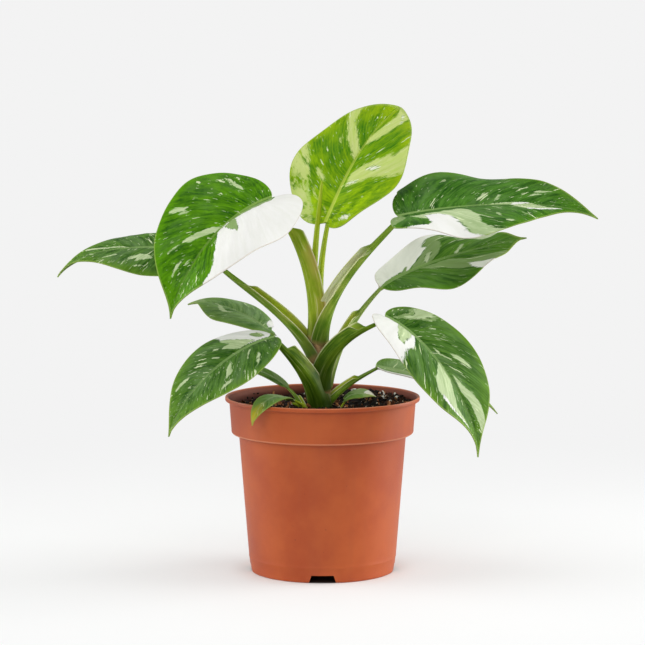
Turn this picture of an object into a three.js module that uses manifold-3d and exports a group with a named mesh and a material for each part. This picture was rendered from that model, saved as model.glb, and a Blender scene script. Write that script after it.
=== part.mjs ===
// Potted white princess philodendron: twelve leaves and one rolled young leaf on a short stem,
// growing from potting soil in a round plastic nursery pot. Millimetres, +Z up.
// The origin is the middle of the pot's foot. The plant's front is -Y, and +X is on the right of it.
import * as THREE from "three";
import { mergeVertices } from "three/addons/utils/BufferGeometryUtils.js";
import Module from "manifold-3d";

const wasm = await Module();
wasm.setup();

// Driving dimensions of the pot: a 12 cm pot, with its rim, collar, tapered body and foot ring.
// rim, collarTop, collarFoot, bodyTop and foot are radii, and the floor is raised inside the ring.
const POT = {
  height: 108.4,
  rim: 60,
  lip: 3,
  collarTop: 57.4,
  collarFoot: 56.2,
  collarHeight: 20,
  bodyTop: 51.6,
  foot: 44,
  wall: 1.2,
  floorUnder: 4.2,
  floorOver: 5.6,
  sides: 48,
};

// Drain slots through the foot ring, and round drain holes through the floor.
const SLOT = { count: 4, topWidth: 13.5, footWidth: 16, height: 4.7, flare: 1.5, corner: 1.2 };
const DRAIN = { count: 8, circle: 28, radius: 4 };

// The soil ends a little below the rim, and its top is crumbled by a few millimetres.
const SOIL = { level: 99.6, crumble: 1.5, rings: 7, sides: 30 };

// Clear gap between neighbouring pieces.
const GAP = 0.3;

// Blade grid: rows along the side veins, steps from midrib to margin, and the leaf's thickness.
const BLADE = { rows: 14, steps: [0, 0.12, 0.42, 0.72, 1], edge: 1, rib: 2.6, ribTip: 1.2 };
const SMALL_BLADE = { rows: 10, steps: [0, 0.16, 0.6, 1], edge: 0.8, rib: 1.5, ribTip: 0.8 };

// Share of a blade's outline that belongs to its rounded base, up to the widest place.
const BASE_SHARE = 0.32;

// How far a petiole reaches past the foot of its midrib, and how far it lies under the upper side.
const JOINT = { past: 1.6, under: 0.8 };

// The stem's axis, and its radius between the leaf scars and at them.
const STEM = {
  foot: [1, 1, 84],
  middle: [2, 0, 122],
  top: [-3, -1, 152],
  radius: 4.4,
  scar: 5,
  scars: 5,
  sides: 14,
};

// The youngest leaf, still rolled into a thin tapering rod.
const ROLLED = { path: [[-6, -1, 158], [-6, -2, 190], [-3, -2, 215], [-0.3, 0, 241]], radius: 2, sides: 10 };

// A small pointed side shoot beside the stem.
const SHOOT = { path: [[-8, -5, 97], [-10, -7, 101], [-14, -8, 104], [-19, -9, 105]], radius: 1.5, sides: 8 };

// Each leaf has three control points of its petiole, which ends at the blade, and four of its midrib.
// stalk holds the radius of the petiole's back at the stem and at the blade, the share of its length
// that has a sheath, the height of the sheath's two wings, and how far they roll over, in degrees.
// faces holds the bearing and the height of the direction that the upper side looks in, in degrees.
// fold is the angle of both halves at the midrib, and curl is how far each half bends back down.
// width is half the blade. lobe, widest, fullness and taper shape the outline, as shares of the length.
// wave is the height of the margin's waves, their number along the leaf and where they start.
const LEAVES = [
  {
    name: "top_leaf",
    petiole: [[-3, 0, 150], [-4, 2, 173], [-2, 2, 193]],
    stalk: { base: 4.6, tip: 2, sheathEnd: 0.5, wing: 4, roll: 0 },
    midrib: [[2, 1, 216], [11, 6, 236], [23, 21, 267], [49, 52, 285]],
    faces: [-30, 35],
    twist: -25,
    fold: [15, 15],
    curl: [20, 20],
    width: 38,
    form: { lobe: 0.08, widest: 0.45, fullness: 0.35, taper: 0 },
    wave: [-5, 1.4, 0.2],
    colour: 0x7aa51e,
  },
  {
    name: "left_large_leaf",
    petiole: [[-5, -1, 146], [-3, -4, 175], [-12, -9, 205]],
    stalk: { base: 4.6, tip: 1.8, sheathEnd: 0.76, wing: 6.5, roll: 0 },
    midrib: [[-31, -6, 231], [-56, -33, 224], [-80, -54, 200], [-91, -49, 161]],
    faces: [-35, 45],
    twist: -10,
    fold: [25, 30],
    curl: [55, 25],
    width: 41,
    form: { lobe: 0.06, widest: 0.35, fullness: 0.4, taper: 0.15 },
    wave: [-2.5, 1.6, -0.15],
    colour: 0x3f8420,
  },
  {
    name: "right_large_leaf",
    petiole: [[-1, -2, 143], [1, -8, 175], [26, -11, 196]],
    stalk: { base: 5, tip: 1.7, sheathEnd: 0.72, wing: 5, roll: 30 },
    midrib: [[46, -14, 220], [64, -18, 225], [141, 22, 232], [167, -15, 219]],
    faces: [-20, 60],
    twist: 0,
    fold: [20, 30],
    curl: [35, 55],
    width: 37,
    form: { lobe: 0.08, widest: 0.5, fullness: 0.15, taper: 0.2 },
    wave: [4.5, 2, -0.4],
    colour: 0x2f6f22,
  },
  {
    name: "far_left_leaf",
    petiole: [[-5, -1, 133], [-19, 5, 162], [-52, 13, 173]],
    stalk: { base: 4.8, tip: 1.5, sheathEnd: 0.66, wing: 4, roll: -30 },
    midrib: [[-73, 16, 198], [-102, 29, 198], [-149, 22, 203], [-167, 36, 179]],
    faces: [0, 65],
    twist: -25,
    fold: [20, 20],
    curl: [65, 65],
    width: 26,
    form: { lobe: 0.08, widest: 0.35, fullness: 0.2, taper: 0.2 },
    wave: [0, 1.6, 0],
    colour: 0x4f7a4c,
  },
  {
    name: "right_back_leaf",
    petiole: [[2, 2, 115], [7, 4, 138], [20, 11, 158]],
    stalk: { base: 4.6, tip: 1.4, sheathEnd: 0.7, wing: 3.6, roll: 15 },
    midrib: [[36, 21, 174], [61, 37, 189], [103, 55, 197], [129, 49, 203]],
    faces: [15, 60],
    twist: 5,
    fold: [10, 10],
    curl: [30, 30],
    width: 22,
    form: { lobe: 0, widest: 0.5, fullness: 0.4, taper: 0.15 },
    wave: [-6, 1.6, 0.1],
    colour: 0x42762f,
  },
  {
    name: "right_front_leaf",
    petiole: [[-1, -2, 113], [-1, -8, 141], [20, -19, 151]],
    stalk: { base: 6.6, tip: 1.9, sheathEnd: 0.74, wing: 5.4, roll: 10 },
    midrib: [[38, -23, 160], [65, -45, 150], [92, -51, 107], [93, -57, 79]],
    faces: [45, 25],
    twist: 0,
    fold: [20, 25],
    curl: [20, 45],
    width: 28,
    form: { lobe: 0.04, widest: 0.45, fullness: 0.3, taper: 0.25 },
    wave: [-1, 1.6, 0.15],
    colour: 0x3c7238,
  },
  {
    name: "small_left_leaf",
    petiole: [[-3, 2, 107], [-8, 7, 123], [-20, 20, 133]],
    stalk: { base: 4, tip: 1.2, sheathEnd: 0.5, wing: 2.5, roll: 0 },
    midrib: [[-32, 24, 145], [-44, 23, 156], [-70, 55, 165], [-86, 55, 160]],
    faces: [-20, 85],
    twist: 15,
    fold: [15, 15],
    curl: [40, 40],
    width: 21,
    form: { lobe: 0.08, widest: 0.4, fullness: 0.3, taper: 0.2 },
    wave: [1, 1.4, 0.05],
    colour: 0x4f7350,
  },
  {
    name: "left_low_leaf",
    petiole: [[-2, -2, 100], [-5, -8, 122], [-18, -19, 134]],
    stalk: { base: 7, tip: 2.2, sheathEnd: 0.8, wing: 5.5, roll: 0 },
    midrib: [[-28, -26, 148], [-53, -43, 145], [-84, -52, 119], [-92, -55, 91]],
    faces: [-30, 55],
    twist: 15,
    fold: [15, 15],
    curl: [35, 35],
    width: 28,
    form: { lobe: -0.02, widest: 0.35, fullness: 0.3, taper: 0.2 },
    wave: [1, 1.6, 0.1],
    colour: 0x3f7436,
  },
  {
    name: "right_low_leaf",
    petiole: [[2, 0, 103], [10, 4, 113], [22, 6, 119]],
    stalk: { base: 3.4, tip: 1.3, sheathEnd: 0.66, wing: 2.2, roll: 10 },
    midrib: [[33, 9, 126], [58, 9, 121], [92, 22, 115], [110, 23, 94]],
    faces: [10, 75],
    twist: 5,
    fold: [20, 20],
    curl: [25, 25],
    width: 15,
    form: { lobe: 0, widest: 0.4, fullness: 0.3, taper: 0.2 },
    wave: [0, 1.4, 0],
    colour: 0x3c6e35,
  },
  {
    name: "strap_leaf",
    small: true,
    petiole: [[-11, 2, 97], [-13, 4, 104], [-17, 7, 109]],
    stalk: { base: 2.4, tip: 1.1, sheathEnd: 0.6, wing: 2, roll: 0 },
    midrib: [[-21, 9, 112.5], [-33, 16, 120], [-47, 26, 127], [-60, 32, 118]],
    faces: [-10, 55],
    twist: 0,
    fold: [25, 25],
    curl: [40, 40],
    width: 3.6,
    form: { lobe: 0, widest: 0.4, fullness: 0.3, taper: 0.2 },
    wave: [0, 1.4, 0],
    colour: 0x56775a,
  },
  {
    name: "rim_leaf",
    small: true,
    petiole: [[-9, -5, 97], [-11, -8, 105], [-16, -16, 108]],
    stalk: { base: 1.6, tip: 1, sheathEnd: 0.4, wing: 1, roll: 0 },
    midrib: [[-21, -24, 110], [-31, -43, 118], [-41, -60, 108], [-42, -58, 98]],
    faces: [-25, 30],
    twist: 0,
    fold: [15, 15],
    curl: [30, 30],
    width: 7,
    form: { lobe: 0.08, widest: 0.35, fullness: 0.25, taper: 0.15 },
    wave: [0, 1.6, 0],
    colour: 0x5b8240,
  },
  {
    name: "soil_leaf",
    small: true,
    petiole: [[9, -2, 95], [10, -3, 100], [12, -3, 104]],
    stalk: { base: 1.2, tip: 0.8, sheathEnd: 0.4, wing: 0.8, roll: 0 },
    midrib: [[14, -4, 107], [20, -8, 113], [29, -10, 111], [33, -9, 109]],
    faces: [0, 60],
    twist: -5,
    fold: [15, 15],
    curl: [30, 30],
    width: 5,
    form: { lobe: 0.08, widest: 0.35, fullness: 0.3, taper: 0.2 },
    wave: [0, 1.4, 0],
    colour: 0x8b9a5c,
  },
];

const UP = new THREE.Vector3(0, 0, 1);
const radians = THREE.MathUtils.degToRad;
const lerp = THREE.MathUtils.lerp;
const clamp = THREE.MathUtils.clamp;

function vector([x, y, z]) {
  return new THREE.Vector3(x, y, z);
}

function curveThrough(points) {
  return new THREE.CubicBezierCurve3(...points.map(vector));
}

function bezier(a, b, c, d, t) {
  const s = 1 - t;
  return s * s * s * a + 3 * s * s * t * b + 3 * s * t * t * c + t * t * t * d;
}

// -1 for the first of a row of rings, 1 for the last and 0 between them.
function endSign(index, count) {
  if (index === 0) return -1;
  return index === count - 1 ? 1 : 0;
}

// Closed indexed mesh from a grid of rings. Every ring has as many points as the first.
function loftedGeometry(rings, firstCap, lastCap) {
  const size = rings[0].length;
  const indices = [];
  for (let row = 0; row + 1 < rings.length; row += 1) {
    for (let i = 0; i < size; i += 1) {
      const next = (i + 1) % size;
      const [a, b] = [row * size + i, row * size + next];
      indices.push(a, b, b + size, a, b + size, a + size);
    }
  }
  for (const [a, b, c] of firstCap) indices.push(a, c, b);
  const last = (rings.length - 1) * size;
  for (const [a, b, c] of lastCap) indices.push(last + a, last + b, last + c);
  const geometry = new THREE.BufferGeometry();
  const numbers = rings.flat().flatMap((point) => point.toArray());
  geometry.setAttribute("position", new THREE.Float32BufferAttribute(numbers, 3));
  geometry.setIndex(indices);
  return geometry;
}

// A geometry as a solid, with its shared vertices merged, flat slivers dropped and its faces turned out.
function solidOf(geometry) {
  const plain = geometry.clone();
  plain.deleteAttribute("uv");
  plain.deleteAttribute("normal");
  const merged = mergeVertices(plain, 1e-4);
  const points = merged.attributes.position.array;
  const triangles = [];
  let volume = 0;
  for (let i = 0; i < merged.index.count; i += 3) {
    const [a, b, c] = [merged.index.getX(i), merged.index.getX(i + 1), merged.index.getX(i + 2)];
    if (a === b || b === c || c === a) continue;
    triangles.push([a, b, c]);
    const [p, q, r] = [a, b, c].map((k) => new THREE.Vector3().fromArray(points, k * 3));
    volume += p.dot(q.cross(r));
  }
  const turned = volume < 0 ? triangles.map(([a, b, c]) => [a, c, b]) : triangles;
  const triVerts = new Uint32Array(turned.flat());
  return new wasm.Manifold(new wasm.Mesh({ numProp: 3, vertProperties: new Float32Array(points), triVerts }));
}

// The largest connected body of a solid as a geometry. Loose scraps that a cut leaves are dropped.
function largestBody(solid) {
  const mesh = solid.getMesh();
  const owner = Array.from({ length: mesh.vertProperties.length / 3 }, (_, i) => i);
  const find = (i) => {
    while (owner[i] !== i) i = owner[i];
    return i;
  };
  const corner = (t, k) => mesh.triVerts[3 * t + k];
  const count = mesh.triVerts.length / 3;
  for (let t = 0; t < count; t += 1) {
    const root = find(corner(t, 0));
    owner[find(corner(t, 1))] = root;
    owner[find(corner(t, 2))] = root;
  }
  const sizes = new Map();
  for (let t = 0; t < count; t += 1) {
    const root = find(corner(t, 0));
    sizes.set(root, (sizes.get(root) ?? 0) + 1);
  }
  const best = [...sizes].sort((one, other) => other[1] - one[1])[0][0];
  const kept = [];
  for (let t = 0; t < count; t += 1) {
    if (find(corner(t, 0)) === best) kept.push(corner(t, 0), corner(t, 1), corner(t, 2));
  }
  const geometry = new THREE.BufferGeometry();
  geometry.setAttribute("position", new THREE.BufferAttribute(new Float32Array(mesh.vertProperties), 3));
  geometry.setIndex(kept);
  return geometry;
}

// A point of a blade's outline: its place along the midrib and its share of the half width.
function outline(place, { lobe, widest, fullness, taper }) {
  if (place < BASE_SHARE) {
    const t = place / BASE_SHARE;
    return [bezier(0, -1.5 * lobe, -1.2 * lobe, widest, t), bezier(0, 0.15, 1, 1, t)];
  }
  const t = (place - BASE_SHARE) / (1 - BASE_SHARE);
  return [bezier(widest, widest + fullness, 1 - taper, 1, t), bezier(1, 1, 0.1, 0, t)];
}

// The direction that a blade's upper side looks in at a place along its midrib.
function upperNormal(leaf, along, place) {
  const [bearing, height] = leaf.faces.map(radians);
  const flat = Math.cos(height);
  const faces = vector([Math.sin(bearing) * flat, -Math.cos(bearing) * flat, Math.sin(height)]);
  const normal = faces.addScaledVector(along, -faces.dot(along)).normalize();
  return normal.applyAxisAngle(along, -radians(leaf.twist) * (place - 0.5));
}

// A point on the upper side of a blade, and the direction through its thickness.
// row runs along the side veins from base to tip, step from midrib to margin, and half is 1 or -1.
function bladePoint(leaf, midrib, row, step, half) {
  const [edgePlace, edgeWidth] = outline(row, leaf.form);
  const veinFoot = row ** 1.5;
  const place = veinFoot + (edgePlace - veinFoot) * step ** 1.25;
  const from = Math.max(place, 0);
  const centre = midrib.getPoint(from);
  if (place < 0) centre.addScaledVector(midrib.v1.clone().sub(midrib.v0), 3 * place);
  const along = midrib.getTangent(from);
  const normal = upperNormal(leaf, along, place);
  const outward = normal.clone().cross(along).multiplyScalar(half);
  const share = edgeWidth * step;
  const index = half > 0 ? 0 : 1;
  const fold = radians(leaf.fold[index]);
  const curl = radians(leaf.curl[index]);
  const reach = leaf.width / curl;
  const [waveHeight, waveCount, waveStart] = leaf.wave;
  const ripple = half * waveHeight * share ** 2 * Math.sin(2 * Math.PI * (waveCount * place + waveStart));
  const rise = reach * (Math.cos(fold - curl * share) - Math.cos(fold)) + ripple;
  centre.addScaledVector(outward, reach * (Math.sin(fold) - Math.sin(fold - curl * share)));
  centre.addScaledVector(normal, rise);
  return { point: centre, normal };
}

// The blade as a closed shell, whose lower face follows the upper one and thickens at the midrib.
function bladeGeometry(leaf, grid) {
  const midrib = curveThrough(leaf.midrib);
  const columns = [...grid.steps.slice(1).reverse().map((s) => [s, 1]), ...grid.steps.map((s) => [s, -1])];
  const rings = [];
  for (let row = 0; row <= grid.rows; row += 1) {
    const place = row / grid.rows;
    const above = [];
    const below = [];
    for (const [step, half] of columns) {
      const { point, normal } = bladePoint(leaf, midrib, place, step, half);
      const thickness = step === 0 ? lerp(grid.rib, grid.ribTip, place) : grid.edge;
      above.push(point);
      below.unshift(point.clone().addScaledVector(normal, -thickness));
    }
    rings.push([...above, ...below]);
  }
  return loftedGeometry(rings, [], []);
}

// Half of a petiole's section, as shares across and up: the round back, then the wing of the sheath.
const BACK = [[0, -1], [0.6, -0.8], [0.95, -0.3]];

// The section of a petiole. hollow is the depth of its channel, and spare widens it for a clear gap.
function petioleSection(radius, wing, hollow, spare) {
  const wall = Math.min(0.45 * radius, 1);
  const back = BACK.map(([x, y]) => [x * (radius + spare), y * (radius + spare)]);
  const tip = [radius * 0.9 + spare, wing + spare];
  const inside = spare ? [[radius * 0.5, wing + spare]] : [[radius * 0.9 - wall, wing], [radius - wall, 0]];
  const floor = spare ? wing + spare : -hollow * radius;
  const right = [...back, tip, ...inside];
  const left = right.slice(1).reverse().map(([x, y]) => [-x, y]);
  return [...right, [0, floor], ...left];
}

// The petiole ends inside the thick foot of the midrib: a little past it and under its upper side.
function petioleEnd(leaf) {
  const midrib = curveThrough(leaf.midrib);
  const along = midrib.getTangent(0);
  const end = midrib.v0.addScaledVector(along, JOINT.past);
  return end.addScaledVector(upperNormal(leaf, along, 0), -JOINT.under).toArray();
}

// The petiole: a round back that opens below into the two wings of a sheath, which end at a free tip.
function petioleGeometry(leaf, spare) {
  const [start, ...bend] = leaf.petiole;
  const curve = curveThrough([start, ...bend, petioleEnd(leaf)]);
  const inward = curve.v0.clone().sub(curve.v3).setZ(0).normalize();
  const opens = UP.clone().multiplyScalar(0.6).addScaledVector(inward, 0.8);
  const { base, tip, sheathEnd, wing, roll } = leaf.stalk;
  const steps = [0, 0.15, 0.32, 0.5, 0.68, 0.86, 1].map((s) => s * sheathEnd);
  const beyond = [0.08, 0.5, 1].map((s) => lerp(sheathEnd, 1, s));
  const rings = [...steps, ...beyond].map((t, i, all) => {
    const along = curve.getTangent(t);
    const up = opens.clone().addScaledVector(along, -opens.dot(along)).normalize();
    up.applyAxisAngle(along, radians(roll) * clamp(t * 3, 0, 1));
    const across = along.clone().cross(up);
    const radius = lerp(tip, base, (1 - t) ** 1.3);
    const height = t <= sheathEnd ? lerp(1, 0.8, t / sheathEnd) * wing : 0.1 * tip;
    const hollow = lerp(0.7, 0, clamp(t / (sheathEnd * 0.9), 0, 1));
    const centre = curve.getPoint(t).addScaledVector(along, spare * endSign(i, all.length));
    const corner = ([x, y]) => centre.clone().addScaledVector(across, x).addScaledVector(up, y);
    return petioleSection(radius, height, hollow, spare).map(corner);
  });
  const flat = petioleSection(base, wing, 0.7, spare).map(([x, y]) => new THREE.Vector2(x, y));
  const flatTip = petioleSection(tip, 0.1 * tip, 0, spare).map(([x, y]) => new THREE.Vector2(x, y));
  const [cap, capTip] = [flat, flatTip].map((section) => THREE.ShapeUtils.triangulateShape(section, []));
  return loftedGeometry(rings, cap, capTip);
}

// A round rod whose radius changes along a curve. spare makes it wider and longer for a clear gap.
function rodGeometry(curve, radii, sides, spare) {
  const rings = radii.map((radius, i) => {
    const t = i / (radii.length - 1);
    const along = curve.getTangent(t);
    const across = new THREE.Vector3(0, 1, 0).cross(along).normalize();
    const up = along.clone().cross(across);
    const centre = curve.getPoint(t).addScaledVector(along, spare * endSign(i, radii.length));
    return Array.from({ length: sides }, (_, k) => {
      const angle = (2 * Math.PI * k) / sides;
      const corner = centre.clone().addScaledVector(across, (radius + spare) * Math.cos(angle));
      return corner.addScaledVector(up, (radius + spare) * Math.sin(angle));
    });
  });
  const fan = Array.from({ length: sides - 2 }, (_, i) => [0, i + 1, i + 2]);
  return loftedGeometry(rings, fan, fan);
}

// The stem: a short rod with a swollen ring at each leaf scar, standing in the soil.
function stemGeometry(spare) {
  const axis = new THREE.QuadraticBezierCurve3(vector(STEM.foot), vector(STEM.middle), vector(STEM.top));
  const radii = [];
  for (let scar = 0; scar < STEM.scars; scar += 1) radii.push(STEM.radius, STEM.radius, STEM.scar);
  radii.push(STEM.radius * 0.8);
  return rodGeometry(axis, radii, STEM.sides, spare);
}

// The rolled leaf: a rod that keeps its thickness for two thirds of its length and ends in a point.
function rolledGeometry(spare) {
  const shares = [0.9, 1, 1, 0.95, 0.85, 0.7, 0.62, 0.55, 0.1];
  return rodGeometry(curveThrough(ROLLED.path), shares.map((s) => s * ROLLED.radius), ROLLED.sides, spare);
}

// The side shoot: a short pointed bud that leans out from beside the stem.
function shootGeometry(spare) {
  const shares = [1, 1, 1, 0.9, 0.6, 0.2];
  return rodGeometry(curveThrough(SHOOT.path), shares.map((s) => s * SHOOT.radius), SHOOT.sides, spare);
}

// Height of the shoulder, where the body ends and the wider collar begins.
const SHOULDER = POT.height - POT.lip - POT.collarHeight;

// The radius of the pot's inner wall at a height.
function innerRadius(z) {
  if (z <= SHOULDER) return lerp(POT.foot + 0.8, POT.bodyTop, clamp(z / SHOULDER, 0, 1)) - POT.wall;
  const t = (z - SHOULDER) / POT.collarHeight;
  return lerp(POT.collarFoot, POT.collarTop, clamp(t, 0, 1)) - POT.wall;
}

// The pot turned about its axis: foot ring, tapered body, collar and rolled lip, then back down inside.
function potGeometry() {
  const top = POT.height;
  const foot = [[POT.foot - 0.6, 0], [POT.foot + 0.3, 0.5], [POT.foot + 0.8, 2]];
  const body = [[POT.bodyTop, SHOULDER], [POT.bodyTop + 0.7, SHOULDER + 0.9]];
  const collar = [[POT.collarFoot - 1.4, SHOULDER + 1.8], [POT.collarFoot, SHOULDER + 3.2]];
  const under = [[POT.collarTop, top - POT.lip], [POT.rim - 0.5, top - POT.lip + 0.2]];
  const bead = [[POT.rim, top - POT.lip + 0.9], [POT.rim, top - 0.9]];
  const crown = [[POT.rim - 0.7, top], [POT.rim - 2.2, top]];
  const inner = [[innerRadius(top) - 0.6, top - 1], [innerRadius(top), top - 2.6]];
  const step = [[innerRadius(SHOULDER + 1) + 0.2, SHOULDER + 4.2], [innerRadius(SHOULDER), SHOULDER + 1.6]];
  const floor = [[innerRadius(POT.floorOver), POT.floorOver], [0, POT.floorOver], [0, POT.floorUnder]];
  const ring = [[POT.foot - 2.2, POT.floorUnder], [POT.foot - 2.6, 0]];
  const outside = [...foot, ...body, ...collar, ...under, ...bead, ...crown];
  const profile = [...outside, ...inner, ...step, ...floor, ...ring, foot[0]];
  const points = profile.map(([x, z]) => new THREE.Vector2(x, z));
  return new THREE.LatheGeometry(points, POT.sides).rotateX(Math.PI / 2);
}

// One drain slot in the foot of the wall, wider at the foot than at the top, as a bar to cut with.
function slotBar() {
  const [low, high] = [SLOT.footWidth / 2, SLOT.topWidth / 2];
  const face = new THREE.Shape();
  face.moveTo(-low - SLOT.flare, -1);
  face.lineTo(low + SLOT.flare, -1);
  face.lineTo(low + SLOT.flare, 0);
  face.quadraticCurveTo(low, 0, low, SLOT.corner);
  face.lineTo(high, SLOT.height);
  face.lineTo(-high, SLOT.height);
  face.lineTo(-low, SLOT.corner);
  face.quadraticCurveTo(-low, 0, -low - SLOT.flare, 0);
  return new THREE.ExtrudeGeometry(face, { depth: 12, bevelEnabled: false, curveSegments: 3 });
}

function potSolid() {
  let pot = solidOf(potGeometry());
  for (let i = 0; i < SLOT.count; i += 1) {
    const bar = slotBar().rotateX(Math.PI / 2).translate(0, -POT.foot + 5, 0);
    pot = pot.subtract(solidOf(bar.rotateZ((2 * Math.PI * i) / SLOT.count)));
  }
  for (let i = 0; i < DRAIN.count; i += 1) {
    const pin = new THREE.CylinderGeometry(DRAIN.radius, DRAIN.radius, 6, 12).rotateX(Math.PI / 2);
    pin.translate(DRAIN.circle, 0, (POT.floorUnder + POT.floorOver) / 2);
    pot = pot.subtract(solidOf(pin.rotateZ((2 * Math.PI * (i + 0.5)) / DRAIN.count)));
  }
  return pot;
}

// Height of the soil's crumbled top at a place: a few crossing waves, a little lower at the wall.
function soilHeight(x, y) {
  const coarse = Math.sin(0.21 * x + 1.3) * Math.cos(0.17 * y - 0.6);
  const fine = Math.sin(0.63 * x - 0.4 * y) + Math.cos(0.55 * y + 0.35 * x + 2);
  return SOIL.level + SOIL.crumble * (0.5 * coarse + 0.35 * fine) - 0.0006 * (x * x + y * y);
}

// The body of soil: it fills the pot up to its level, a gap away from the wall and the floor.
function soilGeometry() {
  const bottom = POT.floorOver + GAP;
  const angles = Array.from({ length: SOIL.sides }, (_, i) => (2 * Math.PI * i) / SOIL.sides);
  const circle = (radius, height) => angles.map((angle) => {
    const [x, y] = [radius * Math.cos(angle), radius * Math.sin(angle)];
    return new THREE.Vector3(x, y, height ?? soilHeight(x, y));
  });
  // The wall is a polygon, so the soil keeps inside its flat sides.
  const inset = (z) => (innerRadius(z) - GAP) * Math.cos(Math.PI / POT.sides) - 0.1;
  const wide = inset(SHOULDER + 5);
  const step = [circle(inset(SHOULDER), SHOULDER + 2), circle(wide, SHOULDER + 5)];
  const side = [circle(inset(bottom), bottom), ...step];
  const crumbs = Array.from({ length: SOIL.rings }, (_, i) => circle(wide * (1 - i / SOIL.rings)));
  const rings = [circle(0, bottom), ...side, ...crumbs, circle(0)];
  return loftedGeometry(rings, [], []);
}

const group = new THREE.Group();

function addPiece(name, geometry, colour, roughness) {
  const material = new THREE.MeshStandardMaterial({ color: colour, roughness, metalness: 0 });
  const mesh = new THREE.Mesh(geometry, material);
  mesh.name = name;
  group.add(mesh);
}

// What stands nearer the middle of the plant is made first, and each later piece is cut clear of it.
let claimed = solidOf(stemGeometry(GAP));

function addClear(name, solid, room, colour) {
  addPiece(name, largestBody(solid.subtract(claimed)), colour, 0.45);
  claimed = claimed.add(room);
}

addPiece("pot", largestBody(potSolid()), 0xb2563a, 0.5);
addPiece("stem", largestBody(solidOf(stemGeometry(0))), 0x6b7a34, 0.7);
addClear("rolled_leaf", solidOf(rolledGeometry(0)), solidOf(rolledGeometry(GAP)), 0x8a8f3c);
for (const leaf of LEAVES) {
  const blade = solidOf(bladeGeometry(leaf, leaf.small ? SMALL_BLADE : BLADE));
  const solid = solidOf(petioleGeometry(leaf, 0)).add(blade);
  addClear(leaf.name, solid, solidOf(petioleGeometry(leaf, GAP)), leaf.colour);
}
addClear("side_shoot", solidOf(shootGeometry(0)), solidOf(shootGeometry(GAP)), 0x7f9440);
addPiece("soil", largestBody(solidOf(soilGeometry()).subtract(claimed)), 0x2b1d15, 0.95);

export default group;
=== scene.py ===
# %% [markdown]
# # A potted white princess philodendron
# This lesson dresses a solid model of a small house plant, in metres, with +Z up. The solid model fixes
# where every leaf stands and how large it is. Here each of its pieces gets the surface of the real thing:
# thin leaves with sunken veins and white sectors, sheathed stalks, crumbly soil and moulded plastic.

# %% Load the solid model
import math
import random

import bpy
import numpy as np
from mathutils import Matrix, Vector, noise


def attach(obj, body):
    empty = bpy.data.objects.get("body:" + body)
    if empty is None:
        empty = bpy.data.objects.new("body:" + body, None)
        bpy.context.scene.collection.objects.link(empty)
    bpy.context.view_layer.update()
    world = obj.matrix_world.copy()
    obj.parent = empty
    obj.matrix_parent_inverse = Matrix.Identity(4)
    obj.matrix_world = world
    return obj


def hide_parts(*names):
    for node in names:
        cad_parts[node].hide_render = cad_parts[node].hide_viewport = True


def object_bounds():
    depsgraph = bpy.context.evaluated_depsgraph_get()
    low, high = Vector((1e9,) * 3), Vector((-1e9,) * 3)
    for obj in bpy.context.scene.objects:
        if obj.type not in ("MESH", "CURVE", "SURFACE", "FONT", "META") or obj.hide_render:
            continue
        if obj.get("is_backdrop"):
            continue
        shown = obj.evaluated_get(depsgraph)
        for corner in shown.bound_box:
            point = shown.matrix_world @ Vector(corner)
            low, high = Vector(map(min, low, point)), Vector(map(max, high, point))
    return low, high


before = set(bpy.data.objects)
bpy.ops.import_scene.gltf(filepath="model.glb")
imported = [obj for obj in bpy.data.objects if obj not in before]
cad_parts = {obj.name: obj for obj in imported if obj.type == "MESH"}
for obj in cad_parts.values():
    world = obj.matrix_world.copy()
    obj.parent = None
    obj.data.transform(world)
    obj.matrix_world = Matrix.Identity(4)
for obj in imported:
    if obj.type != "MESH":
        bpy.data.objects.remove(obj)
cad_box = [list(corner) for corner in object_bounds()]
MM = 0.001
print("solid pieces:", len(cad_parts))

# %% [markdown]
# The camera stands 1.5 m in front of the plant, a little above the pot, and looks down by about 6 degrees.
# A long lens at that distance keeps the pot's sides almost parallel, as in a product photograph.

# %% Camera
CAMERA_DISTANCE = 1.5
CAMERA_HEIGHT = 0.309
CAMERA_PITCH = 5.91
LENS = 136.88

bpy.ops.object.camera_add(
    location=(0, -CAMERA_DISTANCE, CAMERA_HEIGHT),
    rotation=(math.radians(90 - CAMERA_PITCH), 0, 0),
)
camera = bpy.context.object
camera.name = "camera"
camera.data.lens = LENS
camera.data.sensor_width = 36
bpy.context.scene.camera = camera
bpy.context.scene.view_settings.view_transform = "Standard"
print("camera lens:", round(camera.data.lens, 1), "mm")

# %% [markdown]
# Materials are made of nodes. One helper adds a node with its settings and inputs, and another starts a
# node group with named sockets, for effects that several materials share. An input is either a number or
# colour, or the output socket of another node, which is then linked.


# %% Helpers for nodes
def add_node(tree, kind, inputs=None, **settings):
    node = tree.nodes.new(kind)
    for key, value in settings.items():
        setattr(node, key, value)
    for key, value in (inputs or {}).items():
        if isinstance(value, bpy.types.NodeSocket):
            tree.links.new(value, node.inputs[key])
        else:
            node.inputs[key].default_value = value
    return node


def new_group(name, inputs, outputs):
    group = bpy.data.node_groups.new(name, "ShaderNodeTree")
    for label, (kind, value) in inputs.items():
        socket = group.interface.new_socket(label, in_out="INPUT", socket_type=kind)
        socket.default_value = value
    for label, kind in outputs.items():
        group.interface.new_socket(label, in_out="OUTPUT", socket_type=kind)
    return group, group.nodes.new("NodeGroupInput"), group.nodes.new("NodeGroupOutput")


def use_group(tree, group, **inputs):
    named = {key.replace("_", " "): value for key, value in inputs.items()}
    return add_node(tree, "ShaderNodeGroup", named, node_tree=group)


def attribute(tree, name):
    return add_node(tree, "ShaderNodeAttribute", attribute_name=name).outputs["Fac"]


def maths(tree, operation, first, second=0.0, clamp=False):
    node = add_node(tree, "ShaderNodeMath", {0: first, 1: second}, operation=operation)
    node.use_clamp = clamp
    return node.outputs[0]


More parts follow.
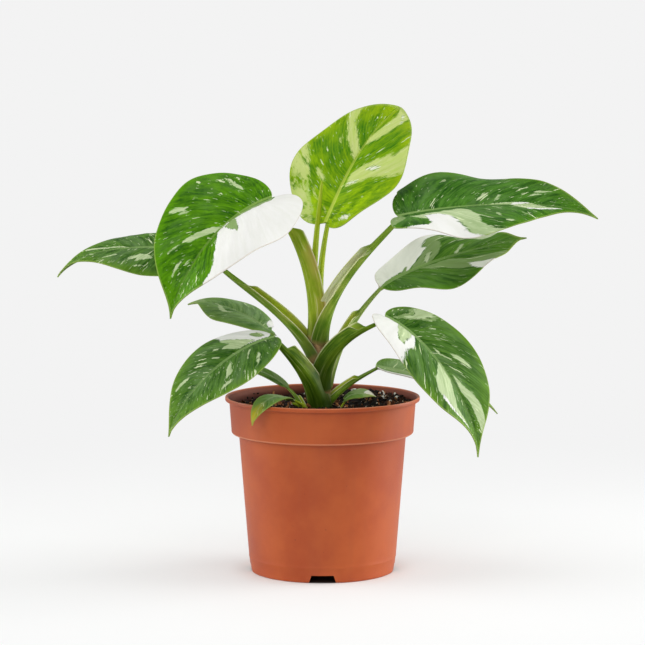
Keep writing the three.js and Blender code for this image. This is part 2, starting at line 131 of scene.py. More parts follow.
def plus(tree, first, second):
    return maths(tree, "ADD", first, second)


def minus(tree, first, second, clamp=False):
    return maths(tree, "SUBTRACT", first, second, clamp)


def times(tree, first, second):
    return maths(tree, "MULTIPLY", first, second)


def ramp(tree, value, low, high, to_low=0.0, to_high=1.0):
    """Goes smoothly from to_low to to_high while the value goes from low to high."""
    inputs = {"Value": value, "From Min": low, "From Max": high, "To Min": to_low, "To Max": to_high}
    node = add_node(tree, "ShaderNodeMapRange", inputs, interpolation_type="SMOOTHSTEP")
    return node.outputs["Result"]


def blend_colours(tree, share, first, second):
    node = add_node(tree, "ShaderNodeMix", data_type="RGBA")
    for index, value in ((0, share), (6, first), (7, second)):
        if isinstance(value, bpy.types.NodeSocket):
            tree.links.new(value, node.inputs[index])
        else:
            node.inputs[index].default_value = value
    return node.outputs[2]


def noise_value(tree, vector, scale=1.0, detail=2.0, roughness=0.5):
    inputs = {"Vector": vector, "Scale": scale, "Detail": detail, "Roughness": roughness}
    return add_node(tree, "ShaderNodeTexNoise", inputs).outputs[0]


def stretched(tree, vector, scale, move=(0, 0, 0)):
    inputs = {"Vector": vector, "Scale": scale, "Location": move}
    return add_node(tree, "ShaderNodeMapping", inputs).outputs[0]


def length_of(tree, vector):
    return add_node(tree, "ShaderNodeVectorMath", {0: vector}, operation="LENGTH").outputs["Value"]


def object_place(tree):
    return add_node(tree, "ShaderNodeTexCoord").outputs["Object"]


def srgb(red, green, blue):
    """A colour as a screen shows it, 0 to 255, in the linear values that a node takes."""
    values = [x / 255 for x in (red, green, blue)]
    return (*[x / 12.92 if x <= 0.04045 else ((x + 0.055) / 1.055) ** 2.4 for x in values], 1.0)


def new_material(name, **surface):
    """A material with plain values on its sockets, whose names have _ for each space."""
    material = bpy.data.materials.new(name)
    material.use_nodes = True
    tree = material.node_tree
    shader = tree.nodes["Principled BSDF"]
    for key, value in surface.items():
        shader.inputs[key.replace("_", " ")].default_value = value
    return material, tree, shader


def connect(tree, shader, **sockets):
    for key, value in sockets.items():
        tree.links.new(value, shader.inputs[key.replace("_", " ")])


print("helpers for nodes are ready")

# %% [markdown]
# The stage is a wide white floor. Past the plant its colour turns into that of the background, so that no
# horizon shows, and under the hollow foot of the pot a painted shadow darkens it. The light is that of a
# small white studio.
# Two large soft boxes stand low at the sides, the right one stronger, and brighten the edges of the pot.
# A third stands in front, weaker ones at the upper right and above, and all of it in a pale surround.

# %% Stage and light
BACKGROUND = srgb(243, 243, 243)
FLOOR_RADIUS = 12
FLOOR_WHITE = srgb(241, 242, 241)
FLOOR_FADE = (0.1, 0.6)
FLOOR_GLOW = 0.4
GLOW_STARTS = (0.04, 0.062)
UNDER_POT = (0.0445, 0.0425)
UNDER_POT_PAINTED_SHADOW = srgb(60, 44, 36)
SURROUND = 0.5
LIGHTS_AIM = (0, 0, 0.14)
LIGHTS = {
    "right_light": {"place": (1.3, 0.22, 0.45), "size": 1.0, "power": 19.5},
    "left_light": {"place": (-1.3, 0.15, 0.4), "size": 1.0, "power": 11},
    "key_light": {"place": (1.2, -1.5, 1.3), "size": 1.2, "power": 4},
    "front_light": {"place": (-0.6, -2.2, 1.2), "size": 1.4, "power": 19},
    "top_light": {"place": (-0.3, -0.2, 1.8), "size": 1.5, "power": 9},
}


def surround_strength(tree):
    """1 where the camera sees the surround itself, and less where it lights the plant."""
    seen = add_node(tree, "ShaderNodeLightPath").outputs["Is Camera Ray"]
    return ramp(tree, seen, 0, 1, SURROUND, 1)


def build_floor():
    bpy.ops.mesh.primitive_circle_add(vertices=96, radius=FLOOR_RADIUS, fill_type="NGON")
    floor = bpy.context.object
    floor.name = "studio_floor"
    material, tree, shader = new_material("studio white floor", Roughness=0.7, Specular_IOR_Level=0.25)
    distance = length_of(tree, object_place(tree))
    # painted shadow: the floor is darkened under the pot's hollow foot
    colour = blend_colours(tree, ramp(tree, distance, *UNDER_POT), FLOOR_WHITE, UNDER_POT_PAINTED_SHADOW)
    connect(tree, shader, Base_Color=colour)
    glow_share = ramp(tree, distance, *FLOOR_FADE, FLOOR_GLOW, 1)
    glow_share = times(tree, glow_share, ramp(tree, distance, *GLOW_STARTS))
    inputs = {"Color": BACKGROUND, "Strength": surround_strength(tree)}
    glow = add_node(tree, "ShaderNodeEmission", inputs)
    inputs = {0: glow_share, 1: shader.outputs[0], 2: glow.outputs[0]}
    mix = add_node(tree, "ShaderNodeMixShader", inputs)
    tree.links.new(mix.outputs[0], tree.nodes["Material Output"].inputs["Surface"])
    floor.data.materials.append(material)
    floor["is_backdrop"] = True


def build_surround():
    world = bpy.data.worlds.new("studio surround")
    bpy.context.scene.world = world
    world.use_nodes = True
    tree = world.node_tree
    tree.nodes["Background"].inputs["Color"].default_value = BACKGROUND
    tree.links.new(surround_strength(tree), tree.nodes["Background"].inputs["Strength"])


def add_light(name, place, size, power):
    bpy.ops.object.light_add(type="AREA", location=place)
    light = bpy.context.object
    light.name = name
    light.data.energy = power
    light.data.size = size
    aim = Vector(LIGHTS_AIM) - Vector(place)
    light.rotation_euler = aim.to_track_quat("-Z", "Y").to_euler()


build_floor()
build_surround()
for name, light in LIGHTS.items():
    add_light(name, **light)
print("lights:", list(LIGHTS))

# %% [markdown]
# The pot is injection moulded in thin plastic. It is turned in shape, so a ring of vertices is extruded
# from the foot up the outside, over the lip and down the inside, and scaled at each stop. The driving
# sizes repeat those of the solid pot, in millimetres.


# %% Helpers for modelling
def clear_selection():
    if bpy.context.object and bpy.context.object.mode != "OBJECT":
        bpy.ops.object.mode_set(mode="OBJECT")
    bpy.ops.object.select_all(action="DESELECT")


def choose(piece):
    clear_selection()
    piece.select_set(True)
    bpy.context.view_layer.objects.active = piece


def edit(piece, selected="NONE"):
    choose(piece)
    bpy.ops.object.mode_set(mode="EDIT")
    bpy.ops.mesh.select_mode(type="VERT")
    bpy.ops.mesh.select_all(action="DESELECT" if selected == "NONE" else "SELECT")


def select_vertices(piece, test):
    """In edit mode, selects the vertices whose place passes the test."""
    bpy.ops.mesh.select_all(action="DESELECT")
    bpy.ops.object.mode_set(mode="OBJECT")
    for vertex in piece.data.vertices:
        vertex.select = test(vertex.co)
    bpy.ops.object.mode_set(mode="EDIT")


def extrude_rings(stops, start):
    """Extrudes the selected ring through (radius, height) stops in mm, and scales it at each."""
    radius, height = start
    for new_radius, new_height in stops:
        rise = (0, 0, (new_height - height) * MM)
        bpy.ops.mesh.extrude_region_move(TRANSFORM_OT_translate={"value": rise})
        share = new_radius / radius
        bpy.ops.transform.resize(value=(share, share, 1), center_override=(0, 0, new_height * MM))
        radius, height = new_radius, new_height


def apply_modifier(piece, kind, **settings):
    choose(piece)
    modifier = piece.modifiers.new(kind.lower(), kind)
    for key, value in settings.items():
        setattr(modifier, key, value)
    bpy.ops.object.modifier_apply(modifier=modifier.name)


def points_of(piece):
    co = np.empty(len(piece.data.vertices) * 3)
    piece.data.vertices.foreach_get("co", co)
    return co.reshape(-1, 3)


def move_points(piece, points):
    piece.data.vertices.foreach_set("co", np.asarray(points, float).ravel())
    piece.data.update()


def settle(piece, name, node=None):
    """Names a finished piece, fixes it to the plant's one body and hides the solid piece that it stands
    for.
    """
    clear_selection()
    piece.name = name
    piece.data.name = name
    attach(piece, "root")
    if node:
        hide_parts(node)
    print(name, "has", len(piece.data.polygons), "faces")


# %% Pot sizes and profile
POT_HEIGHT = 108.4
POT_RIM = 60
LIP = 3
COLLAR_TOP = 57.4
COLLAR_FOOT = 56.2
COLLAR_HEIGHT = 20
BODY_TOP = 51.6
BODY_FOOT = 44.8
FOOT_INSIDE = 41.4
WALL = 1.2
FLOOR_UNDER = 4.2
FLOOR_OVER = 5.6
SHOULDER = POT_HEIGHT - LIP - COLLAR_HEIGHT
POT_SIDES = 192


def arc(centre, radius, start, end, count):
    """Points (radius, height) on a round of the pot's profile, with angles in degrees."""
    angles = [math.radians(start + (end - start) * i / count) for i in range(count + 1)]
    return [(centre[0] + radius * math.cos(a), centre[1] + radius * math.sin(a)) for a in angles]


def body_radius(height):
    return BODY_FOOT + (BODY_TOP - BODY_FOOT) * height / SHOULDER


def pot_outside():
    foot = arc((43.6, 1.2), 1.2, -90, 0, 5)
    seam_stops = ((3, 0), (8.6, 0), (8.9, 0.08), (9.5, 0.08), (9.9, 0))
    seam = [(body_radius(z) + push, z) for z, push in seam_stops]
    body = [(body_radius(z), z) for z in (12, 20, 35, 50, 65, 78, SHOULDER - 1.2)]
    fillet = arc((BODY_TOP + 0.8, SHOULDER - 0.7), 0.8, 180, 90, 4)
    turn = arc((COLLAR_FOOT - 1.5, SHOULDER + 1.6), 1.5, -84, 0, 6)
    lean = COLLAR_TOP - COLLAR_FOOT
    collar = [(COLLAR_FOOT + lean * i / 5, SHOULDER + 2.2 + 16.6 * i / 5) for i in range(6)]
    under = arc((COLLAR_TOP + 1.2, POT_HEIGHT - LIP + 0.4), 1.1, 180, 110, 3)
    bead = arc((POT_RIM - 0.7, POT_HEIGHT - 1.9), 0.7, -80, 0, 4)
    crown = arc((POT_RIM - 0.7, POT_HEIGHT - 0.7), 0.7, 0, 100, 5)
    return foot + seam + body + fillet + turn + collar + under + bead + crown


def pot_inside():
    top = POT_HEIGHT
    roll = [(POT_RIM - 1.6, top - 0.5), (COLLAR_TOP + 0.4, top - 1.3), (COLLAR_TOP - 0.5, top - 2.4)]
    collar = [(COLLAR_TOP - WALL, top - 4), (COLLAR_FOOT - WALL, SHOULDER + 4.4)]
    wall = [(BODY_TOP - WALL, SHOULDER + 1.6), (BODY_FOOT - WALL + 0.4, FLOOR_OVER + 0.5)]
    floor = [(radius, FLOOR_OVER) for radius in (BODY_FOOT - WALL - 0.4, 20, 2)]
    return roll + collar + wall + floor


print("pot profile stops:", len(pot_outside() + pot_inside()))

# %% [markdown]
# Four wide drain slots are cut through the foot ring and eight round holes through the floor, each with a
# cutter of its own and a Boolean modifier. Above each slot the wall is pressed in by a fraction of a
# millimetre, as the mould's core leaves it.

# %% Build the pot
SLOTS = 4
SLOT_TOP = 13.5
SLOT_FOOT = 16
SLOT_HEIGHT = 4.7
SLOT_DEPTH = 14
SLOT_FLARE = 1.22
HOLES = 8
HOLE_RADIUS = 4
HOLE_CIRCLE = 28
PANEL_HALF_WIDTH = 12
PANEL_TOP = 8.7
PANEL_DEPTH = 0.35
POT_SMOOTH_BELOW = 38


def turned_pot():
    bpy.ops.mesh.primitive_circle_add(vertices=POT_SIDES, radius=FOOT_INSIDE * MM)
    pot = bpy.context.object
    edit(pot, "ALL")
    extrude_rings(pot_outside() + pot_inside(), (FOOT_INSIDE, 0))
    bpy.ops.mesh.edge_face_add()
    select_vertices(pot, lambda p: p.z < 1e-6 and math.hypot(p.x, p.y) < (FOOT_INSIDE + 0.1) * MM)
    underside = [(41.6, 0.6), (41.9, FLOOR_UNDER), (20, FLOOR_UNDER), (2, FLOOR_UNDER)]
    extrude_rings(underside, (FOOT_INSIDE, 0))
    bpy.ops.mesh.edge_face_add()
    bpy.ops.mesh.select_all(action="SELECT")
    bpy.ops.mesh.normals_make_consistent(inside=False)
    bpy.ops.object.mode_set(mode="OBJECT")
    return pot


def press_panels(pot):
    """Presses the wall in above each drain slot, with a short slope at the panel's sides."""
    points = points_of(pot)
    radius = np.hypot(points[:, 0], points[:, 1])
    angle = np.arctan2(points[:, 1], points[:, 0])
    from_slot = (angle + math.pi / 4) % (math.pi / 2) - math.pi / 4
    across = np.abs(from_slot) * radius / MM
    inside = np.clip((PANEL_HALF_WIDTH - across) / 1.2, 0, 1)
    low = np.clip((PANEL_TOP * MM - points[:, 2]) / (0.4 * MM), 0, 1)
    outer = radius > 43.5 * MM
    push = PANEL_DEPTH * MM * inside * low * outer
    points[:, :2] *= (1 - push / np.maximum(radius, 1e-6))[:, None]
    move_points(pot, points)


def slot_cutter(index):
    """A bar with the slot's section: narrow at the top, with corners that flare at the floor."""
    bpy.ops.mesh.primitive_cube_add(size=1)
    bar = bpy.context.object
    bar.scale = (SLOT_FOOT * MM, SLOT_DEPTH * MM, 2 * SLOT_HEIGHT * MM)
    bpy.ops.object.transform_apply(location=False, rotation=False, scale=True)
    edit(bar)
    select_vertices(bar, lambda p: p.z > 0)
    bpy.ops.transform.resize(value=(SLOT_TOP / SLOT_FOOT, 1, 1), center_override=(0, 0, 0))
    select_vertices(bar, lambda p: p.z < 0)
    bpy.ops.transform.resize(value=(SLOT_FLARE, 1, 1), center_override=(0, 0, 0))
    bpy.ops.object.mode_set(mode="OBJECT")
    bar.location = (0, -40 * MM, 0)
    bpy.ops.object.transform_apply(location=True, rotation=False, scale=False)
    bar.rotation_euler = (0, 0, index * math.pi / 2)
    bpy.ops.object.transform_apply(location=False, rotation=True, scale=False)
    return bar


def hole_cutter(index):
    angle = (index + 0.5) * math.pi / 4
    place = (HOLE_CIRCLE * MM * math.cos(angle), HOLE_CIRCLE * MM * math.sin(angle), 5 * MM)
    bpy.ops.mesh.primitive_cylinder_add(
        vertices=32, radius=HOLE_RADIUS * MM, depth=6 * MM, location=place,
    )
    bpy.ops.object.transform_apply(location=True, rotation=False, scale=False)
    return bpy.context.object


def cut(piece, cutters):
    for cutter in cutters:
        apply_modifier(piece, "BOOLEAN", operation="DIFFERENCE", solver="EXACT", object=cutter)
        bpy.data.objects.remove(cutter)


pot = turned_pot()
press_panels(pot)
cut(pot, [slot_cutter(i) for i in range(SLOTS)] + [hole_cutter(i) for i in range(HOLES)])
choose(pot)
bpy.ops.object.shade_smooth_by_angle(angle=math.radians(POT_SMOOTH_BELOW))
print("pot faces after cutting:", len(pot.data.polygons))

# %% [markdown]
# The plastic is a satin terracotta. Its colour drifts slightly, faint streaks run up the wall where the
# melt flowed, and a fine grain keeps the gloss from being perfect. The inside above the soil is darkened,
# partly a soil stain and partly painted shade, and a painted highlight lightens the edges of the lip and
# the collar. Grain is a node group, because the soil and the stem use it too.


# %% Grain group and bumps
def grain_group():
    inputs = {"Vector": ("NodeSocketVector", (0, 0, 0)), "Size": ("NodeSocketFloat", 400.0)}
    outputs = {"Coarse": "NodeSocketFloat", "Fine": "NodeSocketFloat"}
    group, inside, out = new_group("fine grain", inputs, outputs)
    place = inside.outputs["Vector"]
    size = inside.outputs["Size"]
    group.links.new(noise_value(group, place, size, 2, 0.5), out.inputs["Coarse"])
    group.links.new(noise_value(group, place, times(group, size, 6), 3, 0.6), out.inputs["Fine"])
    return group


def bump(tree, height, distance, strength=1.0, normal=None):
    inputs = {"Height": height, "Distance": distance, "Strength": strength}
    if normal is not None:
        inputs["Normal"] = normal
    return add_node(tree, "ShaderNodeBump", inputs).outputs[0]


GRAIN = grain_group()
print("grain group:", [socket.name for socket in GRAIN.interface.items_tree])

# %% Plastic
TERRACOTTA = (srgb(168, 70, 26), srgb(185, 87, 36))
FLOW_STREAK = srgb(160, 78, 42)
DIRT = srgb(96, 46, 28)
# Darkens the inside wall above the soil: partly a soil stain, partly painted shade.
SOIL_STAIN_AND_SHADE = srgb(52, 14, 4)
# A painted highlight along the top of the lip and the collar's lower corner.
PAINTED_EDGE_HIGHLIGHT = srgb(226, 150, 112)
STAIN_AND_SHADE_STARTS = (98, 99)
STAIN_AND_SHADE_FADES = (108, 101)
LIP_FLARES_AT = POT_HEIGHT - 4.4
LIP_FLARE = 0.45


def stain_and_shade_mask(tree, height, radius):
    """Soil stain and painted shade inside the wall above the soil, darkest low down. Its limit follows the
    flared lip.
    """
    flare = maths(tree, "MAXIMUM", minus(tree, height, LIP_FLARES_AT * MM), 0)
    inner = minus(tree, radius, times(tree, flare, LIP_FLARE))
    within = ramp(tree, inner, (COLLAR_FOOT + 0.6) * MM, (COLLAR_FOOT + 0.2) * MM)
    within = times(tree, within, ramp(tree, height, *[z * MM for z in STAIN_AND_SHADE_STARTS]))
    return times(tree, within, ramp(tree, height, *[z * MM for z in STAIN_AND_SHADE_FADES], 0.6, 1))


def edge_highlight_mask(tree, height, radius):
    """Where a highlight is painted: the collar's lower corner and the top of the lip."""
    from_corner = maths(tree, "ABSOLUTE", minus(tree, height, (SHOULDER + 0.8) * MM))
    corner = times(tree, ramp(tree, from_corner, 0.7 * MM, 0.2 * MM), ramp(tree, radius, 0.0545, 0.055))
    lip = ramp(tree, height, (POT_HEIGHT - 0.7) * MM, POT_HEIGHT * MM)
    return maths(tree, "MAXIMUM", corner, lip)


def plastic_material():
    material, tree, shader = new_material(
        "terracotta plastic", Specular_IOR_Level=0.4, Subsurface_Weight=0.06,
        Subsurface_Radius=(0.004, 0.0015, 0.001),
    )
    place = object_place(tree)
    height = add_node(tree, "ShaderNodeSeparateXYZ", {"Vector": place}).outputs["Z"]
    radius = length_of(tree, stretched(tree, place, (1, 1, 0)))
    cloud = noise_value(tree, place, 22, 4, 0.6)
    flow = noise_value(tree, stretched(tree, place, (130, 130, 7)), 1, 2, 0.5)
    specks = use_group(tree, GRAIN, Vector=place, Size=330.0).outputs["Coarse"]
    grain = use_group(tree, GRAIN, Vector=place, Size=900.0).outputs["Fine"]
    stain_and_shade_share = stain_and_shade_mask(tree, height, radius)
    edge_highlight_share = times(tree, edge_highlight_mask(tree, height, radius), 0.5)
    colour = blend_colours(tree, ramp(tree, cloud, 0.32, 0.68), *TERRACOTTA)
    colour = blend_colours(tree, ramp(tree, flow, 0.45, 0.75, 0, 0.2), colour, FLOW_STREAK)
    colour = blend_colours(tree, ramp(tree, specks, 0.76, 0.8, 0, 0.6), colour, DIRT)
    # the inside wall above the soil: partly a soil stain, partly painted shade
    colour = blend_colours(tree, stain_and_shade_share, colour, SOIL_STAIN_AND_SHADE)
    # painted highlight on the edges of the lip and the collar
    colour = blend_colours(tree, edge_highlight_share, colour, PAINTED_EDGE_HIGHLIGHT)
    rough = plus(tree, ramp(tree, cloud, 0.2, 0.8, 0.36, 0.46), ramp(tree, grain, 0, 1, 0, 0.08))
    rough = maths(tree, "MAXIMUM", rough, stain_and_shade_share)
    normal = bump(tree, flow, 0.0002, 0.15, bump(tree, grain, 0.00006, 0.5))
    connect(tree, shader, Base_Color=colour, Roughness=rough, Normal=normal)
    return material


pot.data.materials.append(plastic_material())
settle(pot, "pot_moulded", "pot")

# %% [markdown]
# The soil is a peat mix. One closed body fills the pot, and its top is roughened by slow waves, a bank at
# the right and two sizes of noise. Loose crumbs, bark chips, pale grit, white perlite and a few root fibres
# then lie half sunk in it. Crumbs repeat hundreds of times, so each has only a few faces.

# %% Body of soil
SOIL_LEVEL = 99.6
SOIL_SWELL = 1.6
SOIL_CRUMBLE = 1.2
SOIL_BANK = 3.2
SOIL_SIDES = 128
SOIL_RINGS = 48
SOIL_RADIUS = 54.9
GAP = 0.3


def soil_height(x, y):
    """Height of the top of the soil at a place, all in mm."""
    coarse = math.sin(0.21 * x + 1.3) * math.cos(0.17 * y - 0.6)
    fine = math.sin(0.63 * x - 0.4 * y) + math.cos(0.55 * y + 0.35 * x + 2)
    level = SOIL_LEVEL + SOIL_SWELL + SOIL_CRUMBLE * (0.5 * coarse + 0.35 * fine)
    bank = min(max((x + 0.6 * y - 8) / 40, 0), 1)
    clods = noise.noise(Vector((x * 0.22, y * 0.22, 1.7))) * 1.6
    grit = noise.noise(Vector((x * 0.9, y * 0.9, 5.1))) * 0.9
    return level + SOIL_BANK * bank * bank * (3 - 2 * bank) + clods + grit


def build_soil():
    foot = BODY_FOOT - WALL - GAP
    low = FLOOR_OVER + GAP
    bpy.ops.mesh.primitive_circle_add(
        vertices=SOIL_SIDES, radius=foot * MM, location=(0, 0, low * MM), fill_type="NGON",
    )
    bpy.ops.object.transform_apply(location=True, rotation=False, scale=False)
    soil = bpy.context.object
    edit(soil, "ALL")
    narrow = (BODY_TOP - WALL - GAP - 0.1, SHOULDER + 1.8)
    side = [narrow, (SOIL_RADIUS - 0.8, SHOULDER + 5), (SOIL_RADIUS, SOIL_LEVEL - 2)]
    top = [(SOIL_RADIUS * (1 - i / SOIL_RINGS), SOIL_LEVEL - 1 + 0.02 * i) for i in range(SOIL_RINGS)]
    extrude_rings(side + top, (foot, low))
    bpy.ops.mesh.select_all(action="SELECT")
    bpy.ops.mesh.normals_make_consistent(inside=False)
    bpy.ops.object.mode_set(mode="OBJECT")
    points = points_of(soil)
    for point in points:
        if point[2] > (SOIL_LEVEL - 1.5) * MM:
            point[2] = soil_height(point[0] / MM, point[1] / MM) * MM
    move_points(soil, points)
    bpy.ops.object.shade_smooth()
    return soil


soil = build_soil()
print("soil top reaches", round(max(points_of(soil)[:, 2]) / MM, 1), "mm")

# %% Loose bits on the soil
SEED = 11
CRUMBS = 900
GRIT = 420
CHIPS = 90
CHIP_SIZES = ((2.6, 5.2), (1.4, 2.6), (0.5, 0.9))
PERLITE = 34
FLAKE_RADIUS = 3.1
FLAKE_WIDTH = 1.8
FLAKE_THICKNESS = 0.9
WALL_CRUMBS = 46
FIBRES = 30
FIBRE_RADIUS = 0.16
STEM_CLEAR = 8


def rough_grain(detail, size, flat=1.0):
    """One small irregular lump, in mm: an icosphere pushed in and out by noise."""
    bpy.ops.mesh.primitive_ico_sphere_add(subdivisions=detail, radius=1)
    grain = bpy.context.object
    points = points_of(grain)
    offset = random.uniform(0, 50)
    for i, point in enumerate(points):
        push = 1 + 0.45 * noise.noise(Vector(point * 1.3) + Vector((offset, 0, 0)))
        points[i] = point * push * (size, size * random.uniform(0.85, 1.15), size * flat)
    move_points(grain, points * MM)
    return grain


def copy_of(original):
    piece = original.copy()
    piece.data = original.data.copy()
    bpy.context.scene.collection.objects.link(piece)
    return piece


def random_spot(reach=53):
    while True:
        x, y = random.uniform(-reach, reach), random.uniform(-reach, reach)
        if STEM_CLEAR < math.hypot(x, y) < reach:
            return x, y


def join_pieces(pieces):
    clear_selection()
    for piece in pieces:
        piece.select_set(True)
    bpy.context.view_layer.objects.active = pieces[0]
    bpy.ops.object.join()
    bpy.ops.object.transform_apply(location=True, rotation=True, scale=True)
    return bpy.context.object


def scatter(originals, count, sink, sizes):
    """Lays copies on the soil, each turned at random and sunk in by a share of its size."""
    reach = [np.abs(points_of(original)).max() / MM for original in originals]
    pieces = []
    for _ in range(count):
        kind = random.randrange(len(originals))
        scale = random.uniform(*sizes)
        x, y = random_spot()
        height = soil_height(x, y) + reach[kind] * scale * (1 - 2 * sink)
        piece = copy_of(originals[kind])
        piece.scale = (scale, scale, scale)
        piece.rotation_euler = [random.uniform(0, 2 * math.pi) for _ in range(3)]
        piece.location = (x * MM, y * MM, height * MM)
        pieces.append(piece)
    for original in originals:
        bpy.data.objects.remove(original)
    return join_pieces(pieces)


def bark_chip():
    """A flat splinter of bark: a thin block with cut corners and an uneven top."""
    bpy.ops.mesh.primitive_cube_add(size=1)
    chip = bpy.context.object
    chip.scale = [random.uniform(*sizes) * MM for sizes in CHIP_SIZES]
    bpy.ops.object.transform_apply(location=False, rotation=False, scale=True)
    edit(chip, "ALL")
    bpy.ops.mesh.subdivide(number_cuts=1)
    bpy.ops.mesh.bevel(offset=0.12 * MM, segments=1)
    bpy.ops.object.mode_set(mode="OBJECT")
    points = points_of(chip)
    for point in points:
        point += np.array(noise.noise_vector(Vector(point * 420))) * 0.35 * MM
    move_points(chip, points)
    return chip


def cling(count):
    """Crumbs that stick to the inside of the wall, above the soil on the right and a few on the left."""
    pieces = []
    for _ in range(count):
        right, left = random.uniform(-25, 70), random.uniform(130, 200)
        angle = math.radians(random.choice((right, right, left)))
        height = random.uniform(SOIL_LEVEL + 1, POT_HEIGHT - 3.5)
        lean = (COLLAR_TOP - COLLAR_FOOT) * (height - SHOULDER) / COLLAR_HEIGHT
        wall = COLLAR_FOOT - WALL + lean
        piece = rough_grain(1, random.uniform(0.3, 0.9), 0.8)
        piece.location = (wall * math.cos(angle) * MM, wall * math.sin(angle) * MM, height * MM)
        pieces.append(piece)
    return join_pieces(pieces)


def curved_flake(x, y, lean):
    """A curved chip of perlite that stands on its edge: a thin arc of wall, thickened."""
    bpy.ops.mesh.primitive_cylinder_add(
        vertices=24, radius=FLAKE_RADIUS * MM, depth=FLAKE_WIDTH * MM, end_fill_type="NOTHING",
    )
    flake = bpy.context.object
    edit(flake)
    select_vertices(flake, lambda p: p.x < 0.6 * MM)
    bpy.ops.mesh.delete(type="VERT")
    bpy.ops.object.mode_set(mode="OBJECT")
    apply_modifier(flake, "SOLIDIFY", thickness=FLAKE_THICKNESS * MM, offset=0)
    apply_modifier(flake, "SUBSURF", levels=1, render_levels=1)
    flake.rotation_euler = (math.radians(90), math.radians(lean), 0)
    flake.location = (x * MM, y * MM, (soil_height(x, y) + 2.6) * MM)
    return flake


random.seed(SEED)
noise.seed_set(SEED)
crumbs = scatter([rough_grain(1, 0.8, 0.8) for _ in range(8)], CRUMBS, 0.35, (0.5, 1.9))
crumbs = join_pieces([crumbs, cling(WALL_CRUMBS)])
chips = scatter([bark_chip() for _ in range(8)], CHIPS, 0.3, (0.6, 1.15))
grit = scatter([rough_grain(1, 0.45, 0.7) for _ in range(6)], GRIT, 0.25, (0.5, 1.3))
perlite = scatter([rough_grain(2, 0.8, 0.9) for _ in range(5)], PERLITE, 0.2, (0.7, 1.7))
perlite = join_pieces([perlite, curved_flake(35.5, 27, 25), curved_flake(20, 36, -60)])
print("crumbs:", len(crumbs.data.polygons), "faces")


# %% Root fibres
def build_fibres():
    """Thin curved strands that lie on the soil, as skinned curves made into meshes."""
    strands = []
    for _ in range(FIBRES):
        x, y = random_spot(48)
        heading = random.uniform(0, 2 * math.pi)
        bend = random.uniform(-0.25, 0.25)
        curve = bpy.data.curves.new("fibre", "CURVE")
        curve.dimensions = "3D"
        curve.bevel_depth = FIBRE_RADIUS * MM
        curve.bevel_resolution = 1
        spline = curve.splines.new("POLY")
        spline.points.add(9)
        for point in spline.points:
            point.co = (x * MM, y * MM, (soil_height(x, y) + 0.5) * MM, 1)
            heading += bend
            x, y = x + 0.9 * math.cos(heading), y + 0.9 * math.sin(heading)
        strand = bpy.data.objects.new("fibre", curve)
        bpy.context.scene.collection.objects.link(strand)
        choose(strand)
        bpy.ops.object.convert(target="MESH")
        strands.append(bpy.context.object)
    return join_pieces(strands)


fibres = build_fibres()
print("fibres:", len(fibres.data.polygons), "faces")


# %% Soil materials
def soil_material(name, dark, light, size, roughness):
    material, tree, shader = new_material(name, Roughness=roughness, Specular_IOR_Level=0.15)
    grain = use_group(tree, GRAIN, Vector=object_place(tree), Size=size)
    coarse = grain.outputs["Coarse"]
    fine = grain.outputs["Fine"]
    colour = blend_colours(tree, ramp(tree, coarse, 0.35, 0.65), dark, light)
    colour = blend_colours(tree, ramp(tree, fine, 0.35, 0.75, 0, 0.6), colour, dark)
    normal = bump(tree, fine, 0.0003, 0.8, bump(tree, coarse, 0.0008, 0.6))
    connect(tree, shader, Base_Color=colour, Normal=normal)
    return material


SOIL_PIECES = {
    "soil_body": (soil, "damp peat", srgb(10, 6, 4), srgb(34, 20, 12), 260.0, 0.7),
    "peat_crumbs": (crumbs, "peat crumbs", srgb(12, 7, 5), srgb(70, 42, 26), 180.0, 0.7),
    "bark_chips": (chips, "bark", srgb(76, 40, 20), srgb(176, 118, 72), 300.0, 0.7),
    "pale_grit": (grit, "pale grit", srgb(150, 120, 90), srgb(236, 222, 200), 120.0, 0.7),
    "perlite_grains": (perlite, "perlite", srgb(224, 219, 208), srgb(250, 248, 243), 700.0, 0.95),
    "root_fibres": (fibres, "root fibre", srgb(96, 66, 42), srgb(170, 132, 92), 500.0, 0.7),
}
for name, (piece, *finish) in SOIL_PIECES.items():
    piece.data.materials.append(soil_material(*finish))
    settle(piece, name, "soil" if name == "soil_body" else None)

# %% [markdown]
# Every leaf grows on a petiole whose base opens into a sheath round the younger parts. The same few values
# that drive the solid leaves drive these: three points of the petiole, four of the midrib, the direction
# that the upper side faces, the fold and curl of both halves, and the shape of the outline. Lengths are in
# millimetres and angles in degrees.

